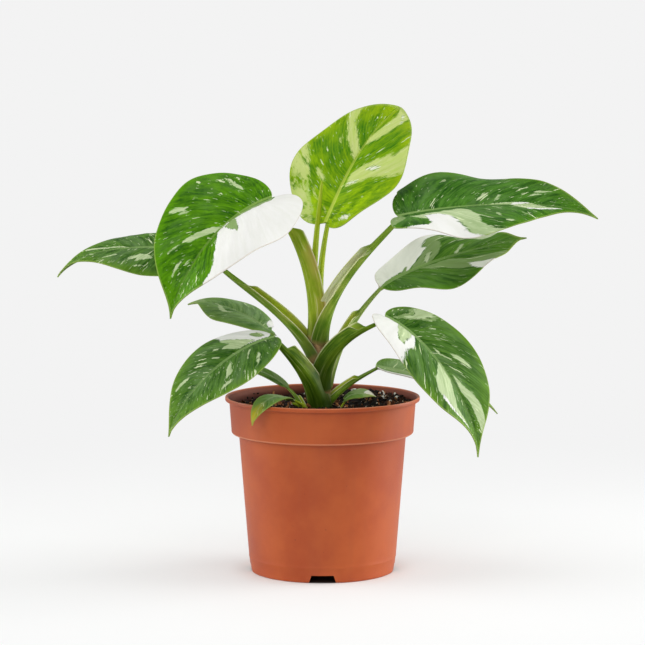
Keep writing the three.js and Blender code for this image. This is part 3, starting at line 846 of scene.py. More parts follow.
# %% Leaf values
LEAVES = {
    "top_leaf": dict(
        petiole=[(-3, 0, 150), (-4, 2, 173), (-2, 2, 193)], stalk=(4.6, 2, 0.5, 4, 0),
        midrib=[(2, 1, 216), (11, 6, 236), (23, 21, 267), (49, 52, 285)], faces=(-30, 35),
        twist=-25, fold=(15, 15), curl=(20, 20), width=38,
        form=(0.08, 0.45, 0.35, 0), wave=(-5, 1.4, 0.2)),
    "left_large_leaf": dict(
        petiole=[(-5, -1, 146), (-3, -4, 175), (-12, -9, 205)], stalk=(4.6, 1.8, 0.76, 6.5, 0),
        midrib=[(-31, -6, 231), (-56, -33, 224), (-80, -54, 200), (-91, -49, 161)], faces=(-35, 45),
        twist=-10, fold=(25, 30), curl=(55, 25), width=41,
        form=(0.06, 0.35, 0.4, 0.15), wave=(-2.5, 1.6, -0.15)),
    "right_large_leaf": dict(
        petiole=[(-1, -2, 143), (1, -8, 175), (26, -11, 196)], stalk=(5, 1.7, 0.72, 5, 60),
        midrib=[(46, -14, 220), (64, -18, 225), (141, 22, 232), (167, -15, 219)], faces=(-20, 60),
        twist=0, fold=(20, 30), curl=(35, 55), width=37,
        form=(0.08, 0.5, 0.15, 0.2), wave=(4.5, 2, -0.4)),
    "far_left_leaf": dict(
        petiole=[(-5, -1, 133), (-19, 5, 162), (-52, 13, 173)], stalk=(4.8, 1.5, 0.66, 4, -30),
        midrib=[(-73, 16, 198), (-102, 29, 198), (-149, 22, 203), (-167, 36, 179)], faces=(0, 65),
        twist=-25, fold=(20, 20), curl=(65, 65), width=26,
        form=(0.08, 0.35, 0.2, 0.2), wave=(0, 1.6, 0)),
    "right_back_leaf": dict(
        petiole=[(2, 2, 115), (7, 4, 138), (20, 11, 158)], stalk=(4.6, 1.4, 0.7, 3.6, 15),
        midrib=[(36, 21, 174), (61, 37, 189), (103, 55, 197), (129, 49, 203)], faces=(15, 60),
        twist=5, fold=(10, 10), curl=(30, 30), width=22,
        form=(0, 0.5, 0.4, 0.15), wave=(-6, 1.6, 0.1)),
    "right_front_leaf": dict(
        petiole=[(-1, -2, 113), (-1, -8, 141), (20, -19, 151)], stalk=(6.6, 1.9, 0.74, 5.4, 10),
        midrib=[(38, -23, 160), (65, -45, 150), (92, -51, 107), (93, -57, 79)], faces=(45, 25),
        twist=0, fold=(20, 25), curl=(20, 45), width=28,
        form=(0.04, 0.45, 0.3, 0.25), wave=(-1, 1.6, 0.15)),
    "small_left_leaf": dict(
        petiole=[(-3, 2, 107), (-8, 7, 123), (-20, 20, 133)], stalk=(4, 1.2, 0.5, 2.5, 0),
        midrib=[(-32, 24, 145), (-44, 23, 156), (-70, 55, 165), (-86, 55, 160)], faces=(-20, 85),
        twist=15, fold=(15, 15), curl=(40, 40), width=21,
        form=(0.08, 0.4, 0.3, 0.2), wave=(1, 1.4, 0.05)),
    "left_low_leaf": dict(
        petiole=[(-2, -2, 100), (-5, -8, 122), (-18, -19, 134)], stalk=(7, 2.2, 0.8, 5.5, 0),
        midrib=[(-28, -26, 148), (-53, -43, 145), (-84, -52, 119), (-92, -55, 91)], faces=(-30, 55),
        twist=15, fold=(15, 15), curl=(35, 35), width=28,
        form=(-0.02, 0.35, 0.3, 0.2), wave=(1, 1.6, 0.1)),
    "right_low_leaf": dict(
        petiole=[(2, 0, 103), (10, 4, 113), (22, 6, 119)], stalk=(3.4, 1.3, 0.66, 2.2, 10),
        midrib=[(33, 9, 126), (58, 9, 121), (92, 22, 115), (110, 23, 94)], faces=(10, 75),
        twist=5, fold=(20, 20), curl=(25, 25), width=15,
        form=(0, 0.4, 0.3, 0.2), wave=(0, 1.4, 0)),
    "strap_leaf": dict(
        petiole=[(-11, 2, 97), (-13, 4, 104), (-17, 7, 109)], stalk=(2.4, 1.1, 0.6, 2, 0),
        midrib=[(-21, 9, 112.5), (-33, 16, 120), (-47, 26, 127), (-60, 32, 118)], faces=(-10, 55),
        twist=0, fold=(25, 25), curl=(40, 40), width=3.6,
        form=(0, 0.4, 0.3, 0.2), wave=(0, 1.4, 0)),
    "rim_leaf": dict(
        petiole=[(-9, -5, 97), (-11, -8, 105), (-16, -16, 108)], stalk=(1.6, 1, 0.4, 1, 0),
        midrib=[(-21, -24, 110), (-31, -43, 118), (-41, -60, 108), (-42, -58, 98)], faces=(-25, 30),
        twist=0, fold=(15, 15), curl=(30, 30), width=7,
        form=(0.08, 0.35, 0.25, 0.15), wave=(0, 1.6, 0)),
    "soil_leaf": dict(
        petiole=[(9, -2, 95), (10, -3, 100), (12, -3, 104)], stalk=(1.2, 0.8, 0.4, 0.8, 0),
        midrib=[(14, -4, 107), (20, -8, 113), (29, -10, 111), (33, -9, 109)], faces=(0, 60),
        twist=-5, fold=(15, 15), curl=(30, 30), width=5,
        form=(0.08, 0.35, 0.3, 0.2), wave=(0, 1.4, 0)),
}
SMALL_LEAVES = ("strap_leaf", "rim_leaf", "soil_leaf")
YELLOWED_TIPS = {"rim_leaf": 1, "soil_leaf": 0.3}
print("leaves:", len(LEAVES))

# %% [markdown]
# A blade is placed in its own coordinates: a row runs from the midrib outwards along one side vein, and a
# step says how far out along it a point lies, from 0 at the midrib to 1 at the margin. Veins, relief and
# white sectors all follow these rows on the real leaf too, so the same two numbers drive them.

# %% Shape of a blade
BASE_SHARE = 0.32


def cubic(a, b, c, d, t):
    s = 1 - t
    return s * s * s * a + 3 * s * s * t * b + 3 * s * t * t * c + t * t * t * d


def unit(rows):
    return rows / np.linalg.norm(rows, axis=-1, keepdims=True)


def curve_point(points, t):
    t = np.asarray(t, float)[..., None]
    return cubic(*[np.array(p, float) for p in points], t)


def curve_direction(points, t):
    a, b, c, d = [np.array(p, float) for p in points]
    t = np.asarray(t, float)[..., None]
    return unit((b - a) * (1 - t) ** 2 + 2 * (c - b) * (1 - t) * t + (d - c) * t * t)


def turned(vectors, axes, angles):
    """Vectors turned about unit axes at right angles to them, by angles in radians."""
    return vectors * np.cos(angles)[..., None] + np.cross(axes, vectors) * np.sin(angles)[..., None]


def outline(row, form):
    """Where each row meets the margin: its place along the midrib and its share of the half width."""
    lobe, widest, fullness, taper = form
    low = np.clip(row / BASE_SHARE, 0, 1)
    high = np.clip((row - BASE_SHARE) / (1 - BASE_SHARE), 0, 1)
    place = np.where(
        row < BASE_SHARE,
        cubic(0, -1.5 * lobe, -1.2 * lobe, widest, low),
        cubic(widest, widest + fullness, 1 - taper, 1, high),
    )
    return place, np.where(row < BASE_SHARE, cubic(0, 0.15, 1, 1, low), cubic(1, 1, 0.1, 0, high))


def upper_normal(leaf, along, place):
    bearing, height = np.radians(leaf["faces"])
    level = math.cos(height)
    faces = np.array([math.sin(bearing) * level, -math.cos(bearing) * level, math.sin(height)])
    normal = unit(faces - (along @ faces)[..., None] * along)
    return turned(normal, along, -math.radians(leaf["twist"]) * (place - 0.5))


def blade_surface(leaf, row, side):
    """Points on the upper side and its normals. side is the signed step, above 0 on the left half."""
    half = np.where(side >= 0, 1.0, -1.0)
    step = np.abs(side)
    edge_place, edge_width = outline(row, leaf["form"])
    foot = row ** 1.5
    place = foot + (edge_place - foot) * step ** 1.25
    midrib = leaf["midrib"]
    centre = curve_point(midrib, np.maximum(place, 0))
    back = np.array(midrib[1], float) - np.array(midrib[0], float)
    centre += 3 * np.minimum(place, 0)[..., None] * back
    along = curve_direction(midrib, np.maximum(place, 0))
    normal = upper_normal(leaf, along, place)
    outward = np.cross(normal, along) * half[..., None]
    share = edge_width * step
    fold = np.radians(np.where(half > 0, *leaf["fold"]))
    curl = np.radians(np.where(half > 0, *leaf["curl"]))
    reach = leaf["width"] / curl
    height, count, start = leaf["wave"]
    ripple = half * height * share ** 2 * np.sin(2 * math.pi * (count * place + start))
    rise = reach * (np.cos(fold - curl * share) - np.cos(fold)) + ripple
    out = reach * (np.sin(fold) - np.sin(fold - curl * share))
    return centre + outward * out[..., None] + normal * rise[..., None], normal, place, share


print("a blade's widest place:", outline(np.array([BASE_SHARE]), LEAVES["top_leaf"]["form"])[0])

# %% [markdown]
# White sectors come from a mutation in the growing tip: whole strips of tissue, which run out along the
# side veins, lack green. Each is given here as a small outline of (row, side) corners, painted in order.
# white is bare tissue, pale and sage are half green layers, and green paints back over them.

# %% White and pale sectors of each leaf
SECTORS = {
    "top_leaf": [
        ("pale", [(0.625, 1.1), (0.7, 1.1), (0.672, 0.8), (0.685, 0.6), (0.7, 0.4), (0.708, 0.15),
                  (0.7, 0.03), (0.645, 0.03), (0.645, 0.3), (0.63, 0.5), (0.625, 0.8)]),
        ("sage", [(0.07, 1.1), (0.12, 0.7), (0.2, 0.45), (0.27, 0.5), (0.32, 0.62), (0.385, 0.74),
                  (0.4, 1.1)]),
        ("pale", [(0.12, 0.95), (0.16, 0.62), (0.22, 0.52), (0.26, 0.58), (0.3, 0.66), (0.33, 0.6),
                  (0.37, 0.72), (0.39, 0.9), (0.39, 1.1), (0.1, 1.1)]),
        ("green", [(0.27, 1.1), (0.285, 0.7), (0.3, 0.72), (0.3, 1.1)]),
        ("green", [(0.14, 1.1), (0.155, 0.75), (0.17, 0.62), (0.172, 0.8), (0.16, 1.1)]),
        ("green", [(0.2, 1.0), (0.21, 0.7), (0.235, 0.56), (0.23, 0.75), (0.22, 0.95)]),
        ("green", [(0.335, 1.1), (0.34, 0.8), (0.355, 0.66), (0.352, 0.9), (0.35, 1.1)]),
        ("pale", [(0.375, 0.52), (0.392, 0.55), (0.408, 0.48), (0.405, 0.35), (0.382, 0.35)]),
        ("pale", [(0.27, 0.3), (0.275, 0.32), (0.315, 0.55), (0.305, 0.5)]),
        ("pale", [(0.17, 0.11), (0.2, 0.1), (0.25, 0.17), (0.22, 0.15)]),
        ("pale", [(0.575, 0.58), (0.585, 0.58), (0.585, 0.68), (0.575, 0.68)]),
        ("pale", [(0.43, -0.1), (0.53, -0.1), (0.54, -0.3), (0.525, -0.5), (0.505, -0.6), (0.5, -0.75),
                  (0.47, -0.8), (0.475, -0.92), (0.49, -1.1), (0.34, -1.1), (0.35, -0.8), (0.38, -0.65),
                  (0.405, -0.5), (0.405, -0.35), (0.42, -0.2)]),
        ("white", [(0.44, -0.6), (0.46, -0.5), (0.49, -0.42), (0.475, -0.52), (0.45, -0.62)]),
        ("white", [(0.42, -0.3), (0.45, -0.12), (0.46, -0.14), (0.43, -0.32)]),
        ("pale", [(0.75, -0.02), (0.8, 0.04), (0.81, -0.3), (0.825, -0.5), (0.835, -0.75), (0.9, -0.86),
                  (0.96, -0.9), (0.96, -1.1), (0.74, -1.1), (0.71, -0.85), (0.7, -0.6), (0.705, -0.45),
                  (0.73, -0.2)]),
        ("white", [(0.71, -0.85), (0.81, -0.9), (0.8, -0.93), (0.72, -0.88)]),
        ("white", [(0.18, -0.6), (0.2, -0.58), (0.213, -0.8), (0.2, -0.88), (0.185, -0.75)]),
    ],
    "left_large_leaf": [
        ("sage", [(0.1, 0.3), (0.2, 0.16), (0.3, 0.07), (0.45, 0.02), (0.52, 0.02), (0.5, 0.12),
                  (0.3, 0.26)]),
        ("white", [(0.02, 0.36), (0.2, 0.3), (0.27, 0.21), (0.35, 0.15), (0.45, 0.08), (0.5, -0.01),
                   (0.585, -0.01), (0.6, 0.4), (0.605, 0.72), (0.62, 0.86), (0.66, 0.96), (0.68, 1.1),
                   (-0.05, 1.1)]),
        ("sage", [(0.455, 0.05), (0.458, 0.3), (0.47, 0.52), (0.48, 0.42), (0.505, 0.33), (0.53, 0.15),
                  (0.535, 0.04)]),
        ("pale", [(0.545, -0.02), (0.59, -0.04), (0.612, -0.2), (0.637, -0.38), (0.622, -0.56),
                  (0.605, -0.5), (0.575, -0.3), (0.552, -0.12)]),
        ("pale", [(0.225, -0.38), (0.243, -0.42), (0.252, -0.55), (0.246, -0.66), (0.234, -0.78),
                  (0.232, -0.6)]),
        ("pale", [(0.243, -0.32), (0.256, -0.35), (0.262, -0.38), (0.25, -0.4)]),
        ("pale", [(0.41, -0.67), (0.43, -0.7), (0.431, -0.86), (0.42, -0.93), (0.402, -0.86)]),
        ("pale", [(0.437, -0.6), (0.45, -0.64), (0.446, -0.76), (0.436, -0.72)]),
        ("pale", [(0.725, -0.4), (0.74, -0.46), (0.765, -0.56), (0.79, -0.64), (0.785, -0.7),
                  (0.76, -0.64), (0.735, -0.58)]),
        ("pale", [(0.745, -0.2), (0.76, -0.28), (0.756, -0.33), (0.742, -0.28)]),
        ("pale", [(0.625, -0.6), (0.637, -0.62), (0.657, -0.8), (0.645, -0.78)]),
        ("pale", [(0.36, -0.65), (0.373, -0.66), (0.366, -0.7)]),
    ],
    "right_large_leaf": [
        ("sage", [(-0.05, -0.2), (0.13, -0.2), (0.19, -0.5), (0.15, -1.1), (-0.05, -1.1)]),
        ("pale", [(0.685, 0.64), (0.695, 0.74), (0.73, 0.83), (0.722, 0.72), (0.705, 0.65)]),
        ("pale", [(0.702, 0.6), (0.73, 0.62), (0.722, 0.52), (0.708, 0.42)]),
        ("pale", [(0.555, 0.38), (0.565, 0.4), (0.572, 0.28), (0.563, 0.13), (0.555, 0.2)]),
        ("pale", [(0.605, 0.37), (0.615, 0.38), (0.632, 0.2), (0.627, 0.14)]),
        ("pale", [(0.58, 0.74), (0.585, 0.74), (0.602, 0.63), (0.597, 0.63)]),
        ("pale", [(0.27, 0.02), (0.3, 0.06), (0.3, 0.02)]),
        ("pale", [(0.2, -0.4), (0.3, -0.28), (0.45, -0.24), (0.445, -0.35), (0.41, -0.55), (0.375, -0.64),
                  (0.33, -0.72), (0.318, -0.8), (0.32, -1.1), (0.17, -1.1), (0.25, -0.78),
                  (0.255, -0.6)]),
        ("white", [(0.252, -0.42), (0.3, -0.38), (0.308, -0.5), (0.3, -0.7), (0.292, -0.9), (0.31, -1.1),
                   (0.19, -1.1), (0.21, -0.92), (0.25, -0.78), (0.256, -0.5)]),
        ("pale", [(0.6, 0.02), (0.7, 0.12), (0.74, 0.14), (0.78, 0.05), (0.775, -0.2), (0.77, -0.5),
                  (0.83, -0.62), (0.82, -0.7), (0.73, -0.72), (0.64, -0.68), (0.635, -0.5), (0.65, -0.35),
                  (0.69, -0.05), (0.68, 0.01)]),
        ("white", [(0.64, -0.62), (0.72, -0.66), (0.8, -0.62), (0.83, -0.62), (0.82, -0.7), (0.73, -0.73),
                   (0.645, -0.69)]),
        ("white", [(0.69, -0.05), (0.71, 0.02), (0.75, 0.08), (0.74, 0.13), (0.7, 0.1)]),
        ("pale", [(0.41, -0.87), (0.42, -0.83), (0.44, -0.88), (0.435, -0.92), (0.415, -0.91)]),
        ("pale", [(0.55, -0.83), (0.59, -0.82), (0.6, -0.86), (0.56, -0.86)]),
        ("pale", [(0.445, -0.72), (0.485, -0.6), (0.49, -0.62), (0.455, -0.73)]),
    ],
    "far_left_leaf": [
        ("pale", [(0.38, 0.52), (0.455, 0.7), (0.465, 0.6), (0.5, 0.7), (0.505, 0.6), (0.48, 0.43),
                  (0.42, 0.43)]),
        ("pale", [(0.585, 0.58), (0.64, 0.8), (0.655, 0.84), (0.625, 0.66), (0.6, 0.53)]),
        ("pale", [(0.38, 0.78), (0.44, 0.84), (0.44, 0.82), (0.39, 0.76)]),
        ("pale", [(0.6, -0.03), (0.7, -0.15), (0.74, -0.33), (0.77, -0.65), (0.76, -0.88), (0.745, -0.62),
                  (0.72, -0.4), (0.69, -0.22), (0.62, -0.12)]),
        ("pale", [(0.2, -0.2), (0.28, -0.18), (0.25, -0.5), (0.25, -1.1), (0.19, -1.1), (0.2, -0.5)]),
        ("pale", [(0.74, 0.45), (0.76, 0.4), (0.8, 0.0), (0.79, -0.15), (0.78, 0.0), (0.755, 0.3)]),
    ],
    "right_back_leaf": [
        ("white", [(0.02, 0.12), (0.3, 0.08), (0.36, 0.04), (0.375, 0.2), (0.37, 0.45), (0.355, 0.6),
                   (0.325, 0.62), (0.312, 0.85), (0.34, 1.1), (-0.05, 1.1)]),
        ("sage", [(0.375, 0.03), (0.38, 0.25), (0.37, 0.5), (0.35, 0.62), (0.325, 0.66), (0.315, 0.86),
                  (0.345, 0.95), (0.38, 0.72), (0.42, 0.62), (0.46, 0.48), (0.5, 0.3), (0.51, 0.12),
                  (0.49, 0.02)]),
        ("pale", [(0.41, 0.38), (0.43, 0.4), (0.45, 0.3), (0.475, 0.15), (0.48, 0.06), (0.46, 0.1),
                  (0.43, 0.24)]),
        ("sage", [(0.315, 0.2), (0.33, 0.18), (0.34, 0.04), (0.3, 0.05)]),
        ("pale", [(0.57, 0.5), (0.585, 0.5), (0.61, 0.4), (0.63, 0.24), (0.65, 0.08), (0.64, 0.05),
                  (0.62, 0.16), (0.6, 0.36)]),
        ("pale", [(0.42, 0.84), (0.55, 0.78), (0.62, 0.7), (0.65, 0.72), (0.66, 0.8), (0.6, 1.1),
                  (0.4, 1.1)]),
        ("sage", [(0.41, -0.06), (0.57, -0.16), (0.565, -0.5), (0.58, -0.75), (0.62, -0.86),
                  (0.68, -0.95), (0.6, -1.1), (0.47, -1.1), (0.43, -0.6), (0.43, -0.35), (0.41, -0.2)]),
        ("white", [(0.49, -0.62), (0.44, -0.76), (0.37, -1.1), (0.49, -1.1), (0.47, -0.85),
                   (0.485, -0.72)]),
    ],
    "right_front_leaf": [
        ("sage", [(0.19, 1.1), (0.245, 1.1), (0.268, 0.75), (0.262, 0.55), (0.235, 0.35), (0.17, 0.17),
                  (0.12, 0.18), (0.165, 0.35), (0.2, 0.6), (0.185, 0.8)]),
        ("pale", [(0.2, 1.1), (0.235, 1.1), (0.255, 0.8), (0.25, 0.5), (0.22, 0.36), (0.2, 0.36),
                  (0.22, 0.6), (0.2, 0.85)]),
        ("pale", [(0.455, 0.41), (0.477, 0.42), (0.485, 0.55), (0.485, 0.7), (0.46, 0.7), (0.445, 0.55)]),
        ("pale", [(0.49, 0.2), (0.505, 0.2), (0.51, 0.35), (0.5, 0.36)]),
        ("pale", [(0.45, 0.15), (0.47, 0.2), (0.5, 0.18), (0.49, 0.14)]),
        ("pale", [(0.61, 0.17), (0.7, 0.16), (0.72, 0.35), (0.76, 0.5), (0.79, 0.62), (0.83, 0.85),
                  (0.86, 1.1), (0.8, 1.1), (0.72, 0.9), (0.67, 0.78), (0.655, 0.6), (0.655, 0.4)]),
        ("white", [(0.05, -0.12), (0.2, -0.06), (0.36, -0.02), (0.355, -0.2), (0.33, -0.45),
                   (0.303, -0.6), (0.295, -0.85), (0.29, -1.1), (-0.05, -1.1)]),
        ("pale", [(0.22, -0.08), (0.34, -0.06), (0.32, -0.25), (0.3, -0.42), (0.288, -0.65),
                  (0.272, -0.64), (0.255, -0.4), (0.24, -0.2)]),
        ("pale", [(0.55, 0.04), (0.65, 0.02), (0.645, -0.5), (0.665, -0.7), (0.8, -0.82), (0.8, -0.9),
                  (0.6, -0.86), (0.52, -0.8), (0.485, -0.78), (0.475, -0.6), (0.5, -0.5), (0.52, -0.35),
                  (0.54, -0.15)]),
        ("white", [(0.53, -0.76), (0.58, -0.78), (0.68, -0.85), (0.8, -0.84), (0.8, -0.89), (0.62, -0.87),
                   (0.53, -0.82)]),
    ],
    "small_left_leaf": [
        ("white", [(0.19, -0.22), (0.25, -0.24), (0.266, -0.4), (0.272, -0.7), (0.275, -1.1),
                   (0.18, -1.1), (0.2, -0.5)]),
        ("pale", [(0.465, -0.58), (0.48, -0.54), (0.49, -0.7), (0.48, -0.8)]),
        ("pale", [(0.47, 0.52), (0.53, 0.6), (0.6, 0.52), (0.68, 0.32), (0.75, 0.05), (0.765, -0.12),
                  (0.74, -0.05), (0.7, 0.12), (0.64, 0.3), (0.57, 0.44), (0.52, 0.46)]),
        ("sage", [(0.8, 1.1), (0.83, 0.5), (0.85, 0), (0.83, -0.5), (0.8, -1.1), (1.1, -1.1),
                  (1.1, 1.1)]),
    ],
    "left_low_leaf": [
        ("pale", [(0.45, 0.8), (0.49, 0.84), (0.54, 0.9), (0.53, 0.84), (0.5, 0.77), (0.48, 0.75)]),
        ("pale", [(0.475, 0.45), (0.477, 0.6), (0.503, 0.68), (0.51, 0.55), (0.515, 0.4), (0.5, 0.3),
                  (0.495, 0.22), (0.483, 0.35)]),
        ("pale", [(0.362, 0.5), (0.372, 0.48), (0.368, 0.3), (0.355, 0.2), (0.35, 0.22)]),
        ("pale", [(0.298, 0.72), (0.312, 0.85), (0.308, 0.6), (0.305, 0.48), (0.3, 0.5)]),
        ("white", [(0.1, -0.3), (0.14, -0.12), (0.25, -0.06), (0.4, -0.08), (0.425, -0.2), (0.432, -0.36),
                   (0.37, -0.38), (0.36, -0.6), (0.325, -0.72), (0.31, -0.85), (0.305, -1.1),
                   (0.05, -1.1)]),
        ("sage", [(0.16, -0.25), (0.2, -0.18), (0.245, -0.25), (0.25, -0.42), (0.22, -0.55),
                  (0.18, -0.52), (0.16, -0.4)]),
        ("pale", [(0.27, -0.1), (0.41, -0.06), (0.43, -0.2), (0.435, -0.38), (0.372, -0.38),
                  (0.365, -0.6), (0.335, -0.68), (0.31, -0.35)]),
        ("pale", [(0.43, -0.45), (0.445, -0.44), (0.448, -0.53), (0.436, -0.56)]),
        ("pale", [(0.512, -0.2), (0.525, -0.2), (0.526, -0.34), (0.515, -0.36)]),
        ("pale", [(0.648, -0.55), (0.67, -0.58), (0.695, -0.71), (0.718, -0.82), (0.705, -0.86),
                  (0.67, -0.76), (0.653, -0.66)]),
        ("pale", [(0.722, -0.26), (0.735, -0.25), (0.735, -0.34), (0.724, -0.37)]),
    ],
    "right_low_leaf": [
        ("sage", [(0.05, -0.15), (0.5, -0.15), (0.6, -0.3), (0.6, -0.9), (0.3, -0.8), (0.1, -0.6)]),
        ("pale", [(0.05, -0.03), (0.55, -0.05), (0.6, -0.12), (0.3, -0.2), (0.05, -0.18)]),
        ("white", [(0.1, -0.85), (0.3, -0.86), (0.6, -0.92), (0.6, -1.1), (0.1, -1.1)]),
        ("pale", [(0.4, 1.1), (0.5, 0.6), (0.6, 0.1), (0.61, 0), (0.59, 0), (0.57, 0.1), (0.47, 0.6),
                  (0.36, 1.1)]),
        ("sage", [(0.7, 1.1), (0.78, 0.6), (0.84, 0.05), (0.78, -0.5), (0.7, -1.1), (0.67, -1.1),
                  (0.76, -0.5), (0.82, 0.05), (0.76, 0.6), (0.66, 1.1)]),
    ],
    "strap_leaf": [
        ("pale", [(0, 0.1), (0.9, 0.08), (0.9, -0.08), (0, -0.1)]),
        ("sage", [(0, 0.1), (0.35, 0.1), (0.38, 0), (0.3, -1.1), (-0.05, -1.1)]),
        ("pale", [(0.43, 1.1), (0.52, 1.1), (0.6, 0.5), (0.68, 0), (0.6, -0.5), (0.5, -1.1), (0.38, -1.1),
                  (0.5, -0.5), (0.6, 0), (0.52, 0.5)]),
        ("white", [(0.53, 1.1), (0.6, 1.1), (0.7, 0.5), (0.78, 0), (0.68, -0.5), (0.55, -1.1),
                   (0.5, -1.1), (0.62, -0.5), (0.73, 0), (0.64, 0.5)]),
    ],
    "rim_leaf": [
        ("sage", [(0.2, 1.1), (0.33, 0.6), (0.4, 0), (0.35, -0.6), (0.25, -1.1), (-0.05, -1.1),
                  (-0.05, 1.1)]),
    ],
    "soil_leaf": [
        ("sage", [(0.2, 1.1), (0.3, 0.3), (0.5, 0), (0.6, -0.5), (0.5, -1.1), (1.1, -1.1), (1.1, 1.1)]),
        ("white", [(0.6, 1.1), (0.62, 0.3), (0.72, 0.0), (1.1, -0.4), (1.1, 1.1)]),
    ],
}
KINDS = ("sage", "pale", "white")
print("sectors:", sum(len(s) for s in SECTORS.values()))

# %% [markdown]
# Each kind of tissue is kept on the blade as a distance in millimetres from the edge of its sectors, above
# zero inside. The material then draws the edge where that distance, roughened along the veins, crosses
# zero. The edge stays crisp on a modest mesh.


# %% Distances to the sectors
def distance_inside(corners, x, y):
    """Signed distance from points to an outline of corners: above zero inside it."""
    corners = np.array(corners, float)
    nearest = np.full(x.shape, np.inf)
    inside = np.zeros(x.shape, bool)
    for (ax, ay), (bx, by) in zip(corners, np.roll(corners, -1, axis=0)):
        dx, dy = bx - ax, by - ay
        t = np.clip(((x - ax) * dx + (y - ay) * dy) / (dx * dx + dy * dy), 0, 1)
        nearest = np.minimum(nearest, np.hypot(x - ax - t * dx, y - ay - t * dy))
        crosses = (ay > y) != (by > y)
        with np.errstate(divide="ignore", invalid="ignore"):
            inside ^= crosses & (x < ax + (y - ay) * dx / dy)
    return np.where(inside, nearest, -nearest)


def paint_sectors(leaf, sectors, row, side):
    length = midrib_length(leaf) * 0.9
    fields = {kind: np.full(row.shape, -9.0) for kind in KINDS}
    for kind, corners in sectors:
        scaled = [(r * length, s * leaf["width"]) for r, s in corners]
        near = distance_inside(scaled, row * length, side * leaf["width"])
        for other in KINDS:
            cut = np.minimum(fields[other], -near)
            fields[other] = np.maximum(fields[other], near) if other == kind else cut
    return fields


def midrib_length(leaf):
    points = curve_point(leaf["midrib"], np.linspace(0, 1, 40))
    return np.linalg.norm(np.diff(points, axis=0), axis=1).sum()


print("length of the top leaf:", round(midrib_length(LEAVES["top_leaf"])), "mm")

# %% [markdown]
# The blade starts as a grid primitive whose vertices are put in their places row by row. The midrib is
# sunk into the upper side and the side veins pleat the surface between them, as the real leaf's do. A
# Solidify modifier then gives the thickness, more of it under the midrib, and turns the grid into a closed
# leaf whose lower side has a material of its own.

# %% Build a blade
ROWS = 168
STEPS = 64
SIDE_VEINS = 13
VEIN_RELIEF = 0.17
FULL_RELIEF_WIDTH = 24
RIB_GROOVE = 0.55
THICKNESS = 0.55
RIB_THICKNESS = 2.3
RIB_HALF_WIDTH = (1.5, 0.35)
UNEVENNESS = 0.7


def store(mesh, name, values):
    layer = mesh.attributes.new(name, "FLOAT", "POINT")
    layer.data.foreach_set("value", np.asarray(values, np.float32))


def vein_phase(row, share, seed):
    """A number that passes a whole number at each side vein."""
    return row * SIDE_VEINS + 0.25 * np.sin(5 * share + seed)


def vein_relief(phase, side, share, leaf):
    """Height over the smooth surface, in mm: shallow pleats between the side veins, none at the margin."""
    pleat = np.cos(2 * math.pi * phase) - 0.35 * np.cos(4 * math.pi * phase)
    fade = np.clip(share * 4, 0, 1) * np.clip((1 - np.abs(side)) * 2.5, 0, 1)
    size = min(1.0, leaf["width"] / FULL_RELIEF_WIDTH)
    return -VEIN_RELIEF * size * pleat * fade


def make_blade(name, leaf, seed):
    small = name in SMALL_LEAVES
    rows, steps = (ROWS // 3, STEPS // 3) if small else (ROWS, STEPS)
    bpy.ops.mesh.primitive_grid_add(x_subdivisions=rows, y_subdivisions=steps, size=2)
    blade = bpy.context.object
    flat = points_of(blade)
    row = np.clip((flat[:, 0] + 1) / 2, 0, 1)
    side = flat[:, 1] * (0.45 + 0.55 * np.abs(flat[:, 1]))
    points, normal, place, share = blade_surface(leaf, row, side)
    rib_width = RIB_HALF_WIDTH[0] + (RIB_HALF_WIDTH[1] - RIB_HALF_WIDTH[0]) * np.clip(place, 0, 1)
    rib_width = rib_width * min(1.0, leaf["width"] / FULL_RELIEF_WIDTH + 0.25)
    off_rib = share * leaf["width"] - rib_width
    groove = np.exp(-((share * leaf["width"] / rib_width) ** 2))
    vein = vein_phase(row, share, seed)
    relief = vein_relief(vein, side, share, leaf) - RIB_GROOVE * rib_width / RIB_HALF_WIDTH[0] * groove
    points = points + normal * relief[:, None]
    length = midrib_length(leaf)
    for i, point in enumerate(points):
        push = noise.noise(Vector(point * 0.06) + Vector((seed * 7.0, 0, 0)))
        points[i] = point + normal[i] * push * UNEVENNESS * min(1.0, share[i] * 2)
    move_points(blade, points * MM)
    rib = np.clip(np.exp(-((share * leaf["width"] / (rib_width * 1.2)) ** 2)), 0, 1)
    full = RIB_THICKNESS * (1 - 0.6 * np.clip(place, 0, 1))
    full = full * min(1.0, leaf["width"] / FULL_RELIEF_WIDTH + 0.15)
    thickness = THICKNESS + (full - THICKNESS).clip(0) * rib
    group = blade.vertex_groups.new(name="thickness")
    for i, value in enumerate(thickness / RIB_THICKNESS):
        group.add([i], float(value), "REPLACE")
    places = {
        "row": row,
        "off_rib": off_rib,
        "off_edge": (1 - np.abs(side)) * outline(row, leaf["form"])[1] * leaf["width"],
        "vein": vein,
        "along": row * length,
        "across": side * leaf["width"] + 100 * seed,
        "faded": np.clip((row - 0.58) / 0.3, 0, 1) * YELLOWED_TIPS.get(name, 0),
    }
    for label, values in (places | paint_sectors(leaf, SECTORS[name], row, side)).items():
        store(blade.data, label, values)
    return blade


def thicken(blade):
    """Gives the blade its thickness away from its upper side, after merging its pointed ends."""
    edit(blade, "ALL")
    bpy.ops.mesh.remove_doubles(threshold=0.02 * MM)
    bpy.ops.object.mode_set(mode="OBJECT")
    apply_modifier(
        blade, "SOLIDIFY", thickness=RIB_THICKNESS * MM, offset=-1, vertex_group="thickness",
        use_even_offset=False, material_offset=1, material_offset_rim=0,
    )
    blade.vertex_groups.clear()


print("blade grid:", ROWS, "by", STEPS)

